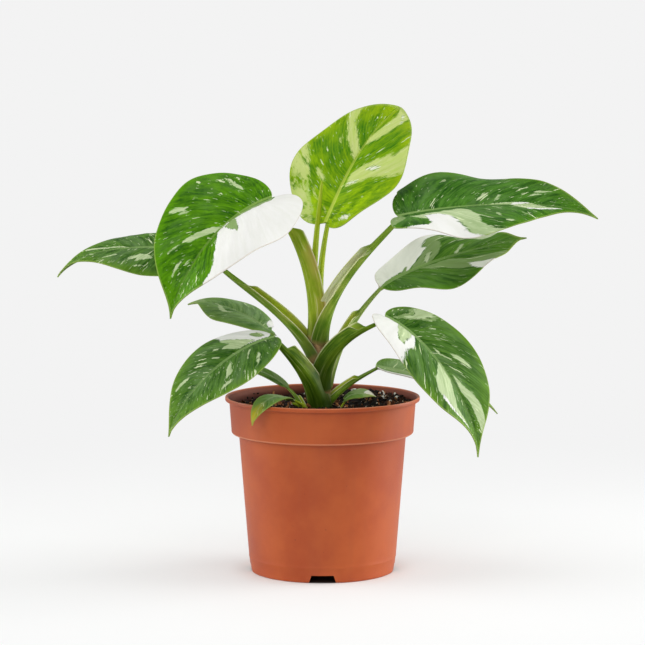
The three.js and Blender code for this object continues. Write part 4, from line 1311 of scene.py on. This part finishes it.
# %% [markdown]
# The petiole is a round stalk that opens downwards into the two thin wings of its sheath. It starts as a
# grid too: one way runs along the stalk and the other goes round its section, and the seam is merged
# afterwards. The section's shape is worked out from the stalk's radius, the wings' height and the depth of
# the channel between them.

# %% Shape of a petiole
STALK_ROWS = 60
STALK_FOOT = 5
WING_EDGE = 0.35


def stalk_section(radius, wing, hollow):
    """One half of the section from the back to the channel's floor, as (across, up) points in mm."""
    back = [(radius * math.sin(a), -radius * math.cos(a)) for a in np.linspace(0, math.pi / 2, 10)]
    top = max(wing, 0.05)
    outer = [(radius * (1 - 0.1 * t), top * t) for t in (0.3, 0.6, 0.85)]
    tip = [(radius * 0.9 - 0.02, top), (radius * 0.9 - WING_EDGE * min(1, radius / 2), top)]
    wall = min(0.45 * radius, 1.0)
    inner = [(radius * 0.9 - wall * (0.5 + 0.4 * (1 - t)), top * t) for t in (0.8, 0.5, 0.25)]
    inside = radius - wall
    turn = np.linspace(0.25, math.pi / 2, 5)
    floor = [(inside * math.cos(a), -hollow * radius * math.sin(a)) for a in turn]
    return back + outer + tip + inner + floor


def stalk_frame(leaf):
    """The petiole's four control points, which end inside the foot of the midrib."""
    midrib = leaf["midrib"]
    along = curve_direction(midrib, np.array([0.0]))
    normal = upper_normal(leaf, along, np.array([0.0]))[0]
    end = np.array(midrib[0], float) + 1.6 * along[0] - 0.8 * normal
    return [*leaf["petiole"], tuple(end)]


def stalk_surface(leaf, t, around, foot):
    """Points of the petiole. t runs along it and around from -1 to 1 round its section from the back.

    foot is above 0 below the base, where the sheath closes on the stem, and 1 at its very end.
    """
    curve = stalk_frame(leaf)
    base, tip, sheath_end, wing, roll = leaf["stalk"]
    inward = np.array(curve[0], float) - np.array(curve[3], float)
    inward[2] = 0
    opens = np.array([0, 0, 0.6]) + 0.8 * inward / np.linalg.norm(inward)
    along = curve_direction(curve, t)
    up = unit(opens - (along @ opens)[:, None] * along)
    up = turned(up, along, np.radians(roll) * np.clip(t * 3, 0, 1))
    across = np.cross(along, up)
    radius = tip + (base - tip) * (1 - np.maximum(t, 0)) ** 1.3
    radius = radius * (1 - 0.5 * foot ** 1.5)
    wing_end = sheath_end * (1.04 - 0.07 * (around > 0))
    closing = np.clip((wing_end - t) / (0.1 * sheath_end), 0, 1)
    closing = closing * closing * (3 - 2 * closing)
    height = wing * closing + 0.1 * tip * (1 - closing)
    height = height * (1 - foot) ** 0.7 + 0.05
    hollow = 0.7 * (1 - np.clip(t / (sheath_end * 0.95), 0, 1))
    centre = curve_point(curve, t)
    points = np.empty((len(t), 3))
    for i in range(len(t)):
        section = np.array(stalk_section(radius[i], height[i], hollow[i]))
        at = abs(around[i]) * (len(section) - 1)
        low = min(int(at), len(section) - 2)
        x, y = section[low] + (section[low + 1] - section[low]) * (at - low)
        points[i] = centre[i] + across[i] * x * (1 if around[i] >= 0 else -1) + up[i] * y
    return points


# The wing's edge lies between points 13 and 14 of the section, counted from 0 at its back.
SECTION_POINTS = len(stalk_section(4, 4, 0.5))
WING_TIP = 13.5 / (SECTION_POINTS - 1)


def make_stalk(name, leaf, seed):
    half = SECTION_POINTS - 1
    small = name in SMALL_LEAVES
    rows = STALK_ROWS // 2 if small else STALK_ROWS
    bpy.ops.mesh.primitive_grid_add(x_subdivisions=rows, y_subdivisions=2 * half, size=2)
    stalk = bpy.context.object
    flat = points_of(stalk)
    path = curve_point(stalk_frame(leaf), np.linspace(0, 1, 30))
    length = np.linalg.norm(np.diff(path, axis=0), axis=1).sum()
    below = STALK_FOOT * min(1, leaf["stalk"][0] / 4) / length
    t = np.clip((flat[:, 0] + 1) / 2, 0, 1) * (1 + below) - below
    around = np.clip(flat[:, 1], -1, 1)
    move_points(stalk, stalk_surface(leaf, t, around, np.clip(-t / below, 0, 1)) * MM)
    places = {
        "stalk_place": t,
        "stalk_round": around,
        "along": t * length,
        "across": around * 14 + 100 * seed,
        "sheath": np.clip((leaf["stalk"][2] - t) * 12, 0, 1),
    }
    for label, values in places.items():
        store(stalk.data, label, values)
    edit(stalk, "ALL")
    bpy.ops.mesh.remove_doubles(threshold=0.01 * MM)
    bpy.ops.mesh.select_all(action="DESELECT")
    bpy.ops.mesh.select_non_manifold()
    bpy.ops.mesh.edge_face_add()
    bpy.ops.mesh.select_all(action="SELECT")
    bpy.ops.mesh.normals_make_consistent(inside=False)
    bpy.ops.object.mode_set(mode="OBJECT")
    return stalk


print("points round a petiole's section:", 2 * SECTION_POINTS)

# %% [markdown]
# Leaf colour is layered as the leaf is. First comes green tissue with lighter and darker strips along the
# veins, greyer in patches of painted sheen and yellower near the margin and the tip. Over it lie half
# green and bare sectors, fine white flecks, a pale midrib and a thin pale margin. The marks that run along
# the veins are one node group, read in the blade's own lengthwise and crosswise millimetres. The leaf at
# the right back hangs against the light, which shines through it, so its tissue is painted brighter.


# %% Group of marks along the veins
def dashes(tree, place, cell, radius, share):
    """A dash in each cell (width, length) in mm, kept in a share of the cells."""
    vector = stretched(tree, place, (1 / cell[0], 1 / cell[1], 1))
    inputs = {"Vector": vector, "Scale": 1.0}
    spots = add_node(tree, "ShaderNodeTexVoronoi", inputs, voronoi_dimensions="2D")
    pick = add_node(tree, "ShaderNodeSeparateColor", {"Color": spots.outputs["Color"]})
    kept = ramp(tree, minus(tree, share, pick.outputs["Red"]), 0, 0.02)
    reach = times(tree, plus(tree, pick.outputs["Green"], 0.55), radius)
    body = ramp(tree, minus(tree, reach, spots.outputs["Distance"]), 0, 0.07)
    return times(tree, kept, body)


def thin_line(tree, phase, width):
    """A line wherever the phase passes a whole number, as wide as a share of the spacing."""
    part = maths(tree, "FRACT", plus(tree, phase, 0.5))
    return ramp(tree, maths(tree, "ABSOLUTE", minus(tree, part, 0.5)), width, 0)


def vein_marks_group():
    labels = ("Feather", "Strips", "Mottle", "Painted_Sheen", "Flecks", "Specks", "Veins")
    outputs = {label: "NodeSocketFloat" for label in labels}
    inputs = {"Flecks": ("NodeSocketFloat", 0.5)}
    group, inside, out = new_group("marks along the veins", inputs, outputs)
    along = attribute(group, "along")
    across = attribute(group, "across")
    plain = add_node(group, "ShaderNodeCombineXYZ", {"X": along, "Y": across}).outputs[0]
    warp = minus(group, noise_value(group, stretched(group, plain, (0.5, 0.35, 1))), 0.5)
    bent = plus(group, along, times(group, warp, 2.0))
    place = add_node(group, "ShaderNodeCombineXYZ", {"X": bent, "Y": across}).outputs[0]

    def marks(scale, move, detail, roughness):
        return noise_value(group, stretched(group, place, scale, move), 1, detail, roughness)

    where = marks((0.09, 0.07, 1), (11, 41, 0), 2, 0.5)
    share = times(group, ramp(group, where, 0.36, 0.66, 0.08, 1), inside.outputs["Flecks"])
    vein = attribute(group, "vein")
    fine = times(group, thin_line(group, times(group, vein, 4), 0.18), 0.5)
    values = {
        "Feather": marks((1.3, 0.22, 1), (0, 0, 0), 4, 0.6),
        "Strips": marks((0.5, 0.05, 1), (31, 7, 0), 5, 0.6),
        "Mottle": marks((0.13, 0.08, 1), (3, 17, 0), 4, 0.6),
        # where the painted sheen lies, a greyer colour standing in for reflected light
        "Painted_Sheen": marks((0.06, 0.035, 1), (23, 5, 0), 4, 0.65),
        "Flecks": dashes(group, place, (1.9, 15), 0.19, times(group, share, 0.55)),
        "Specks": dashes(group, place, (0.9, 5.5), 0.2, times(group, share, 0.7)),
        "Veins": maths(group, "MAXIMUM", thin_line(group, vein, 0.07), fine),
    }
    for label, value in values.items():
        group.links.new(value, out.inputs[label])
    return group


VEIN_MARKS = vein_marks_group()
print("marks:", [socket.name for socket in VEIN_MARKS.interface.items_tree])

# %% [markdown]
# Each tone of green is given by five colours: the dark and the light end of the tissue, the midrib, the
# rim and the painted sheen, a greyer colour that stands in for reflected light. Each kind of bare tissue
# has its own colour and how much the streaks shade it. A young leaf is mottled in broad soft patches and
# has blurred sectors, and an older one is striped and crisp.

# %% Leaf colours
WHITE = srgb(229, 229, 225)
WHITE_SHADE = srgb(220, 221, 213)
PALE = srgb(188, 204, 158)
SAGE = srgb(138, 162, 106)
FLECK = srgb(208, 221, 176)
YELLOWED = srgb(196, 176, 40)
YOUNG_TIP = srgb(92, 66, 30)
MARGIN = srgb(150, 172, 84)
BARE_MARGIN = srgb(206, 196, 180)
UNDERSIDE = srgb(150, 172, 110)
GREENS = {
    "young": [(40, 106, 0), (150, 186, 6), (184, 202, 84), (150, 178, 6), (122, 162, 46)],
    "fresh": [(14, 70, 0), (90, 146, 6), (136, 168, 84), (84, 142, 0), (96, 138, 64)],
    "deep": [(12, 62, 4), (82, 132, 44), (138, 168, 98), (76, 126, 8), (96, 130, 74)],
    # The right back leaf's greens, painted lighter for the light that shines through it.
    "painted_backlit": [(22, 72, 2), (102, 148, 50), (144, 174, 104), (76, 126, 8), (96, 130, 74)],
    "mid": [(14, 60, 2), (90, 130, 54), (140, 170, 104), (94, 136, 22), (108, 138, 88)],
    "dull": [(46, 90, 26), (126, 158, 94), (150, 174, 118), (110, 148, 54), (140, 166, 118)],
}
# How much of each tone's colour is painted sheen, standing in for reflected light.
PAINTED_SHEEN = {"young": 0.2, "fresh": 0.3, "deep": 0.4, "painted_backlit": 0.4, "mid": 0.45, "dull": 0.5}
SPRINKLED = {"young": 0.35, "fresh": 0.45, "deep": 0.5, "painted_backlit": 0.5, "mid": 0.65, "dull": 0.3}
TISSUE = {"sage": (SAGE, 0.4), "pale": (PALE, 0.4), "white": (WHITE, 0.6)}
OWN_TISSUE = {
    # The right back leaf's tissue, painted brighter for the light that shines through it.
    "painted_backlit": {
        "sage": (SAGE, 0.4),
        "pale": (srgb(200, 211, 174), 0.4),
        "white": (srgb(252, 251, 245), 0.25),
    },
    "young": {
        "sage": (srgb(168, 192, 104), 0.5),
        "pale": (srgb(188, 201, 124), 0.4),
        "white": (srgb(226, 230, 206), 0.5),
    },
}
YOUNG = {"strips": 0.26, "mottle": 0.6, "rough_edge": 7.0, "soft_edge": 0.9}
GROWN = {"strips": 0.46, "mottle": 0.36, "rough_edge": 3.0, "soft_edge": 0.3}
print("tones of green:", list(GREENS))


# %% Leaf materials
def green_tissue(tree, marks, tone, dark, light, rim, painted_sheen):
    age = YOUNG if tone == "young" else GROWN
    row = attribute(tree, "row")
    strips = ramp(tree, marks["Strips"], 0.38, 0.62, 0, age["strips"])
    mottle = ramp(tree, marks["Mottle"], 0.36, 0.64, 0, age["mottle"])
    feather = ramp(tree, marks["Feather"], 0.34, 0.66, 0, 0.2)
    lightness = plus(tree, plus(tree, strips, mottle), feather)
    if tone == "young":
        lightness = times(tree, lightness, ramp(tree, row, 0.1, 0.6, 1.3, 0.5))
    colour = blend_colours(tree, lightness, dark, light)
    # painted sheen: a greyer colour in patches, for the light that the leaf reflects
    colour = blend_colours(tree, ramp(tree, marks["Painted_Sheen"], 0.46, 0.64, 0, PAINTED_SHEEN[tone]), colour, painted_sheen)
    near_rim = ramp(tree, attribute(tree, "off_edge"), 6.0, 0.5, 0, 0.6)
    near_tip = ramp(tree, row, 0.8, 0.96, 0, 0.7)
    lit = maths(tree, "MAXIMUM", near_rim, near_tip)
    lit = times(tree, lit, ramp(tree, marks["Mottle"], 0.3, 0.55))
    colour = blend_colours(tree, lit, colour, rim)
    return blend_colours(tree, times(tree, marks["Veins"], 0.35), colour, rim)


def with_sectors(tree, marks, tone, light, colour):
    """Paints the sectors over the green, and also says where the tissue is bare."""
    age = YOUNG if tone == "young" else GROWN
    soft = age["soft_edge"]
    jitter = times(tree, minus(tree, marks["Feather"], 0.5), age["rough_edge"])
    streak = ramp(tree, marks["Strips"], 0.35, 0.7)
    for kind, (paint, most) in OWN_TISSUE.get(tone, TISSUE).items():
        shade = WHITE_SHADE if kind == "white" else light
        share = ramp(tree, plus(tree, attribute(tree, kind), jitter), -soft, soft)
        streaked = blend_colours(tree, times(tree, streak, most), paint, shade)
        colour = blend_colours(tree, share, colour, streaked)
    return colour, share


def with_flecks(tree, marks, bare, colour):
    for label, most in (("Specks", 0.4), ("Flecks", 0.9)):
        share = times(tree, marks[label], minus(tree, most, bare, True))
        colour = blend_colours(tree, share, colour, FLECK)
    return blend_colours(tree, attribute(tree, "faded"), colour, YELLOWED)


def with_rib_and_margin(tree, bare, midrib, colour):
    rib = ramp(tree, attribute(tree, "off_rib"), 0.3, -0.2)
    rib = times(tree, rib, ramp(tree, attribute(tree, "row"), 0.95, 0.15, 0.3, 0.85))
    colour = blend_colours(tree, times(tree, rib, minus(tree, 1, bare)), colour, midrib)
    margin = ramp(tree, attribute(tree, "off_edge"), 0.6, 0.15, 0, 0.6)
    return blend_colours(tree, margin, colour, blend_colours(tree, bare, MARGIN, BARE_MARGIN))


def leaf_material(name, tone, flecks, under=False):
    """One leaf surface. tone names its greens, flecks is how many white flecks it has, 0 to 1."""
    material, tree, shader = new_material(name, Specular_IOR_Level=0.05)
    dark, light, midrib, rim, painted_sheen = [srgb(*colour) for colour in GREENS[tone]]
    marks = use_group(tree, VEIN_MARKS, Flecks=flecks).outputs
    colour = green_tissue(tree, marks, tone, dark, light, rim, painted_sheen)
    colour, bare = with_sectors(tree, marks, tone, light, colour)
    colour = with_flecks(tree, marks, bare, colour)
    if tone == "young":
        browned = ramp(tree, attribute(tree, "row"), 0.982, 0.992, 0, 0.8)
        colour = blend_colours(tree, browned, colour, YOUNG_TIP)
    colour = with_rib_and_margin(tree, bare, midrib, colour)
    if under:
        dulled = minus(tree, 0.35, times(tree, bare, 0.32))
        colour = blend_colours(tree, dulled, colour, UNDERSIDE)
    normal = bump(tree, marks["Strips"], 0.0002, 0.2)
    normal = bump(tree, marks["Veins"], -0.00012, 0.5, normal)
    normal = bump(tree, marks["Feather"], 0.00008, 0.2, normal)
    rough = ramp(tree, marks["Mottle"], 0.3, 0.7, 0.38, 0.5)
    connect(tree, shader, Base_Color=colour, Roughness=rough, Normal=normal)
    return material


UPPER = {tone: leaf_material(f"{tone} leaf", tone, SPRINKLED[tone]) for tone in GREENS}
UNDER = {tone: leaf_material(f"{tone} leaf underside", tone, 0.3, under=True) for tone in GREENS}
print("leaf materials:", len(UPPER) + len(UNDER))

# %% [markdown]
# Petioles and sheaths are a fresher, glassier green than the blades, darker towards the base. The thin
# edges of the wings have lost their green and show as pale lines, with a touch of brown pink in places.
# Inside the channel the tissue is yellow green, or nearly white where the mutation runs down the stalk.


# %% Petiole material
WING_PINK = srgb(168, 138, 80)
LINE_PINK = srgb(190, 148, 116)
DARK_FOOT = srgb(30, 50, 2)
OLD_SCAR = srgb(168, 132, 92)


def stalk_material(name, dark, light, inner, edge, blush, shade):
    """One petiole surface. inner is the channel's colour, blush how pink the wings are, 0 to 1.

    shade is how far up the petiole its darker foot reaches.
    """
    material, tree, shader = new_material(name, Roughness=0.4, Specular_IOR_Level=0.14)
    inputs = {"X": attribute(tree, "along"), "Y": attribute(tree, "across")}
    place = add_node(tree, "ShaderNodeCombineXYZ", inputs).outputs[0]
    up = attribute(tree, "stalk_place")
    around = maths(tree, "ABSOLUTE", attribute(tree, "stalk_round"))
    sheath = attribute(tree, "sheath")
    streaks = noise_value(tree, stretched(tree, place, (0.035, 1.3, 1)), 1, 5, 0.65)
    cloud = noise_value(tree, stretched(tree, place, (0.06, 0.2, 1), (5, 9, 0)), 1, 3, 0.5)
    share = ramp(tree, streaks, 0.38, 0.66, 0, 0.55)
    share = plus(tree, share, ramp(tree, cloud, 0.35, 0.65, 0, 0.45))
    colour = blend_colours(tree, share, dark, light)
    colour = blend_colours(tree, ramp(tree, streaks, 0.56, 0.68, 0, 0.55), colour, edge)
    inside = times(tree, ramp(tree, around, WING_TIP - 0.02, WING_TIP + 0.04), sheath)
    lined = blend_colours(tree, ramp(tree, streaks, 0.42, 0.64, 0, 0.5), inner, light)
    colour = blend_colours(tree, inside, colour, lined)
    near_edge = times(tree, ramp(tree, minus(tree, WING_TIP, around), 0.26, 0.04), sheath)
    pink = times(tree, near_edge, ramp(tree, cloud, 0.42, 0.6, 0, blush))
    colour = blend_colours(tree, pink, colour, WING_PINK)
    band = maths(tree, "ABSOLUTE", minus(tree, around, WING_TIP))
    line = times(tree, ramp(tree, band, 0.075, 0.035), sheath)
    tint = blend_colours(tree, ramp(tree, cloud, 0.52, 0.66, 0, blush), edge, LINE_PINK)
    colour = blend_colours(tree, line, colour, tint)
    foot = ramp(tree, up, shade, -0.02, 0, 0.55 + 0.6 * shade)
    colour = blend_colours(tree, foot, colour, DARK_FOOT)
    scar = times(tree, ramp(tree, up, 0.02, -0.03), 0.7)
    colour = blend_colours(tree, scar, colour, OLD_SCAR)
    connect(tree, shader, Base_Color=colour, Normal=bump(tree, streaks, 0.0003, 0.4))
    return material


LINE = srgb(212, 216, 160)
YELLOW_INSIDE = srgb(190, 206, 66)
WHITE_INSIDE = srgb(230, 234, 200)
STALK_TONES = {
    "olive": (srgb(116, 144, 12), srgb(172, 188, 56), YELLOW_INSIDE, 0.6, 0.2),
    "white": (srgb(76, 118, 8), srgb(152, 178, 62), WHITE_INSIDE, 0.2, 0.2),
    "green": (srgb(78, 116, 10), srgb(138, 166, 54), YELLOW_INSIDE, 0.2, 0.3),
    "dark": (srgb(50, 88, 0), srgb(128, 158, 38), srgb(150, 176, 60), 0.2, 0.62),
    "faint": (srgb(86, 118, 24), srgb(164, 182, 96), YELLOW_INSIDE, 0.3, 0.2),
    "light": (srgb(128, 154, 6), srgb(180, 198, 48), srgb(210, 216, 120), 0.2, 0.14),
}
STALKS = {}
for tone, (dark, light, inner, blush, shade) in STALK_TONES.items():
    STALKS[tone] = stalk_material(f"{tone} petiole", dark, light, inner, LINE, blush, shade)
print("petiole materials:", len(STALKS))

# %% [markdown]
# Now each leaf is grown. Its blade and its petiole are joined to one piece, which takes a tone of green and
# a tone of petiole, and stands for the solid leaf of the same name.

# %% Grow the leaves
LEAF_SMOOTH_BELOW = 50
LOOKS = {
    "top_leaf": ("young", "light"),
    "left_large_leaf": ("fresh", "olive"),
    "right_large_leaf": ("deep", "white"),
    "far_left_leaf": ("mid", "green"),
    "right_back_leaf": ("painted_backlit", "faint"),
    "right_front_leaf": ("mid", "dark"),
    "small_left_leaf": ("dull", "green"),
    "left_low_leaf": ("mid", "dark"),
    "right_low_leaf": ("dull", "green"),
    "strap_leaf": ("dull", "green"),
    "rim_leaf": ("dull", "light"),
    "soil_leaf": ("dull", "light"),
}


def grow_leaf(name, leaf, seed):
    tone, stalk_tone = LOOKS[name]
    blade = make_blade(name, leaf, seed)
    blade.data.materials.append(UPPER[tone])
    blade.data.materials.append(UNDER[tone])
    thicken(blade)
    stalk = make_stalk(name, leaf, seed)
    stalk.data.materials.append(STALKS[stalk_tone])
    clear_selection()
    stalk.select_set(True)
    blade.select_set(True)
    bpy.context.view_layer.objects.active = blade
    bpy.ops.object.join()
    bpy.ops.object.shade_smooth_by_angle(angle=math.radians(LEAF_SMOOTH_BELOW))
    settle(blade, f"{name}_grown", name)


for seed, (name, leaf) in enumerate(LEAVES.items()):
    grow_leaf(name, leaf, seed)

# %% [markdown]
# The stem is a short rod: a cylinder primitive, cut into rings that swell at each old leaf scar. The rolled
# youngest leaf and the side shoot are rods of the same kind, pointed and bent along their paths.

# %% Rods along a path
ROD_SMOOTH_BELOW = 40


def rod(path, radius_at, rings, sides):
    """A closed rod: a cylinder primitive whose rings are moved on to a path, given as a function."""
    bpy.ops.mesh.primitive_cylinder_add(vertices=sides, radius=1, depth=1)
    piece = bpy.context.object
    edit(piece)
    for i in range(1, rings):
        bpy.ops.mesh.select_all(action="SELECT")
        bpy.ops.mesh.bisect(plane_co=(0, 0, i / rings - 0.5), plane_no=(0, 0, 1))
    bpy.ops.object.mode_set(mode="OBJECT")
    flat = points_of(piece)
    t = np.clip(flat[:, 2] + 0.5, 0, 1)
    angle = np.arctan2(flat[:, 1], flat[:, 0])
    centre, along = path(t)
    across = unit(np.cross(np.array([0.0, 1.0, 0.0]), along))
    up = np.cross(along, across)
    radius = radius_at(t, angle)[:, None]
    points = centre + radius * (across * np.cos(angle)[:, None] + up * np.sin(angle)[:, None])
    move_points(piece, points * MM)
    places = {
        "stalk_place": t,
        "stalk_round": angle / math.pi,
        "along": t * 70,
        "across": angle * 3,
        "sheath": np.zeros(len(t)),
    }
    for label, values in places.items():
        store(piece.data, label, values)
    bpy.ops.object.shade_smooth_by_angle(angle=math.radians(ROD_SMOOTH_BELOW))
    return piece


# %% Stem, rolled leaf and side shoot
STEM_AXIS = [(1, 1, 84), (2, 0, 122), (-3, -1, 152)]
STEM_RADIUS = 4.4
STEM_SCAR = 0.6
STEM_SCARS = 5
STEM_COLOURS = (srgb(116, 124, 56), srgb(166, 130, 90))
STEM_GRAIN = srgb(84, 62, 34)
ROLLED_PATH = [(-6, -1, 158), (-6, -2, 190), (-3, -2, 215), (-0.3, 0, 241)]
ROLLED_RADIUS = 2
SHOOT_PATH = [(-8, -5, 97), (-10, -7, 101), (-14, -8, 104), (-19, -9, 105)]
SHOOT_RADIUS = 1.5


def stem_path(t):
    a, b, c = [np.array(p, float) for p in STEM_AXIS]
    t = t[:, None]
    point = a * (1 - t) ** 2 + 2 * b * (1 - t) * t + c * t * t
    return point, unit((b - a) * (1 - t) + (c - b) * t)


def stem_radius(t, angle):
    swell = np.exp(-(((t * STEM_SCARS - 0.6) % 1 - 0.5) / 0.14) ** 2)
    uneven = 0.2 * np.sin(3 * angle + 9 * t)
    return STEM_RADIUS + STEM_SCAR * swell + uneven - 0.9 * np.clip((t - 0.9) * 10, 0, 1)


def bezier_path(points):
    return lambda t: (curve_point(points, t), curve_direction(points, t))


def rolled_radius(t, angle):
    """Full for two thirds of the length, then a long point, with a shallow spiral overlap."""
    taper = np.interp(t, [0, 0.12, 0.4, 0.65, 0.85, 0.96, 1], [0.9, 1, 1, 0.8, 0.58, 0.4, 0.08])
    lap = ((angle / (2 * math.pi) + 0.15 * t) % 1) ** 6
    return ROLLED_RADIUS * taper * (1 - 0.12 * lap)


def shoot_radius(t, angle):
    return SHOOT_RADIUS * np.interp(t, [0, 0.4, 0.7, 0.9, 1], [1, 1, 0.85, 0.5, 0.1])


def stem_material():
    material, tree, shader = new_material("stem with leaf scars", Roughness=0.55)
    place = object_place(tree)
    grain = use_group(tree, GRAIN, Vector=place, Size=300.0).outputs["Coarse"]
    ring = noise_value(tree, stretched(tree, place, (60, 60, 260)), 1, 3, 0.6)
    colour = blend_colours(tree, ramp(tree, ring, 0.4, 0.62), *STEM_COLOURS)
    colour = blend_colours(tree, ramp(tree, grain, 0.45, 0.7, 0, 0.5), colour, STEM_GRAIN)
    connect(tree, shader, Base_Color=colour, Normal=bump(tree, ring, 0.0005, 0.6))
    return material


stem = rod(stem_path, stem_radius, 60, 32)
stem.data.materials.append(stem_material())
settle(stem, "stem_grown", "stem")
rolled = rod(bezier_path(ROLLED_PATH), rolled_radius, 48, 24)
shoot = rod(bezier_path(SHOOT_PATH), shoot_radius, 16, 16)
for name, piece, slot in (("rolled_leaf", rolled, "young_leaf"), ("side_shoot", shoot, "stem")):
    piece.data.materials.append(STALKS["light"])
    settle(piece, f"{name}_grown", name)

# %% [markdown]
# The size of the dressed plant is printed beside that of the solid one, to compare them.

# %% Sizes
bpy.context.view_layer.update()
visual_box = [list(corner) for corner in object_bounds()]
for label, box in (("solid", cad_box), ("dressed", visual_box)):
    print(label, [[round(x / MM, 1) for x in corner] for corner in box])
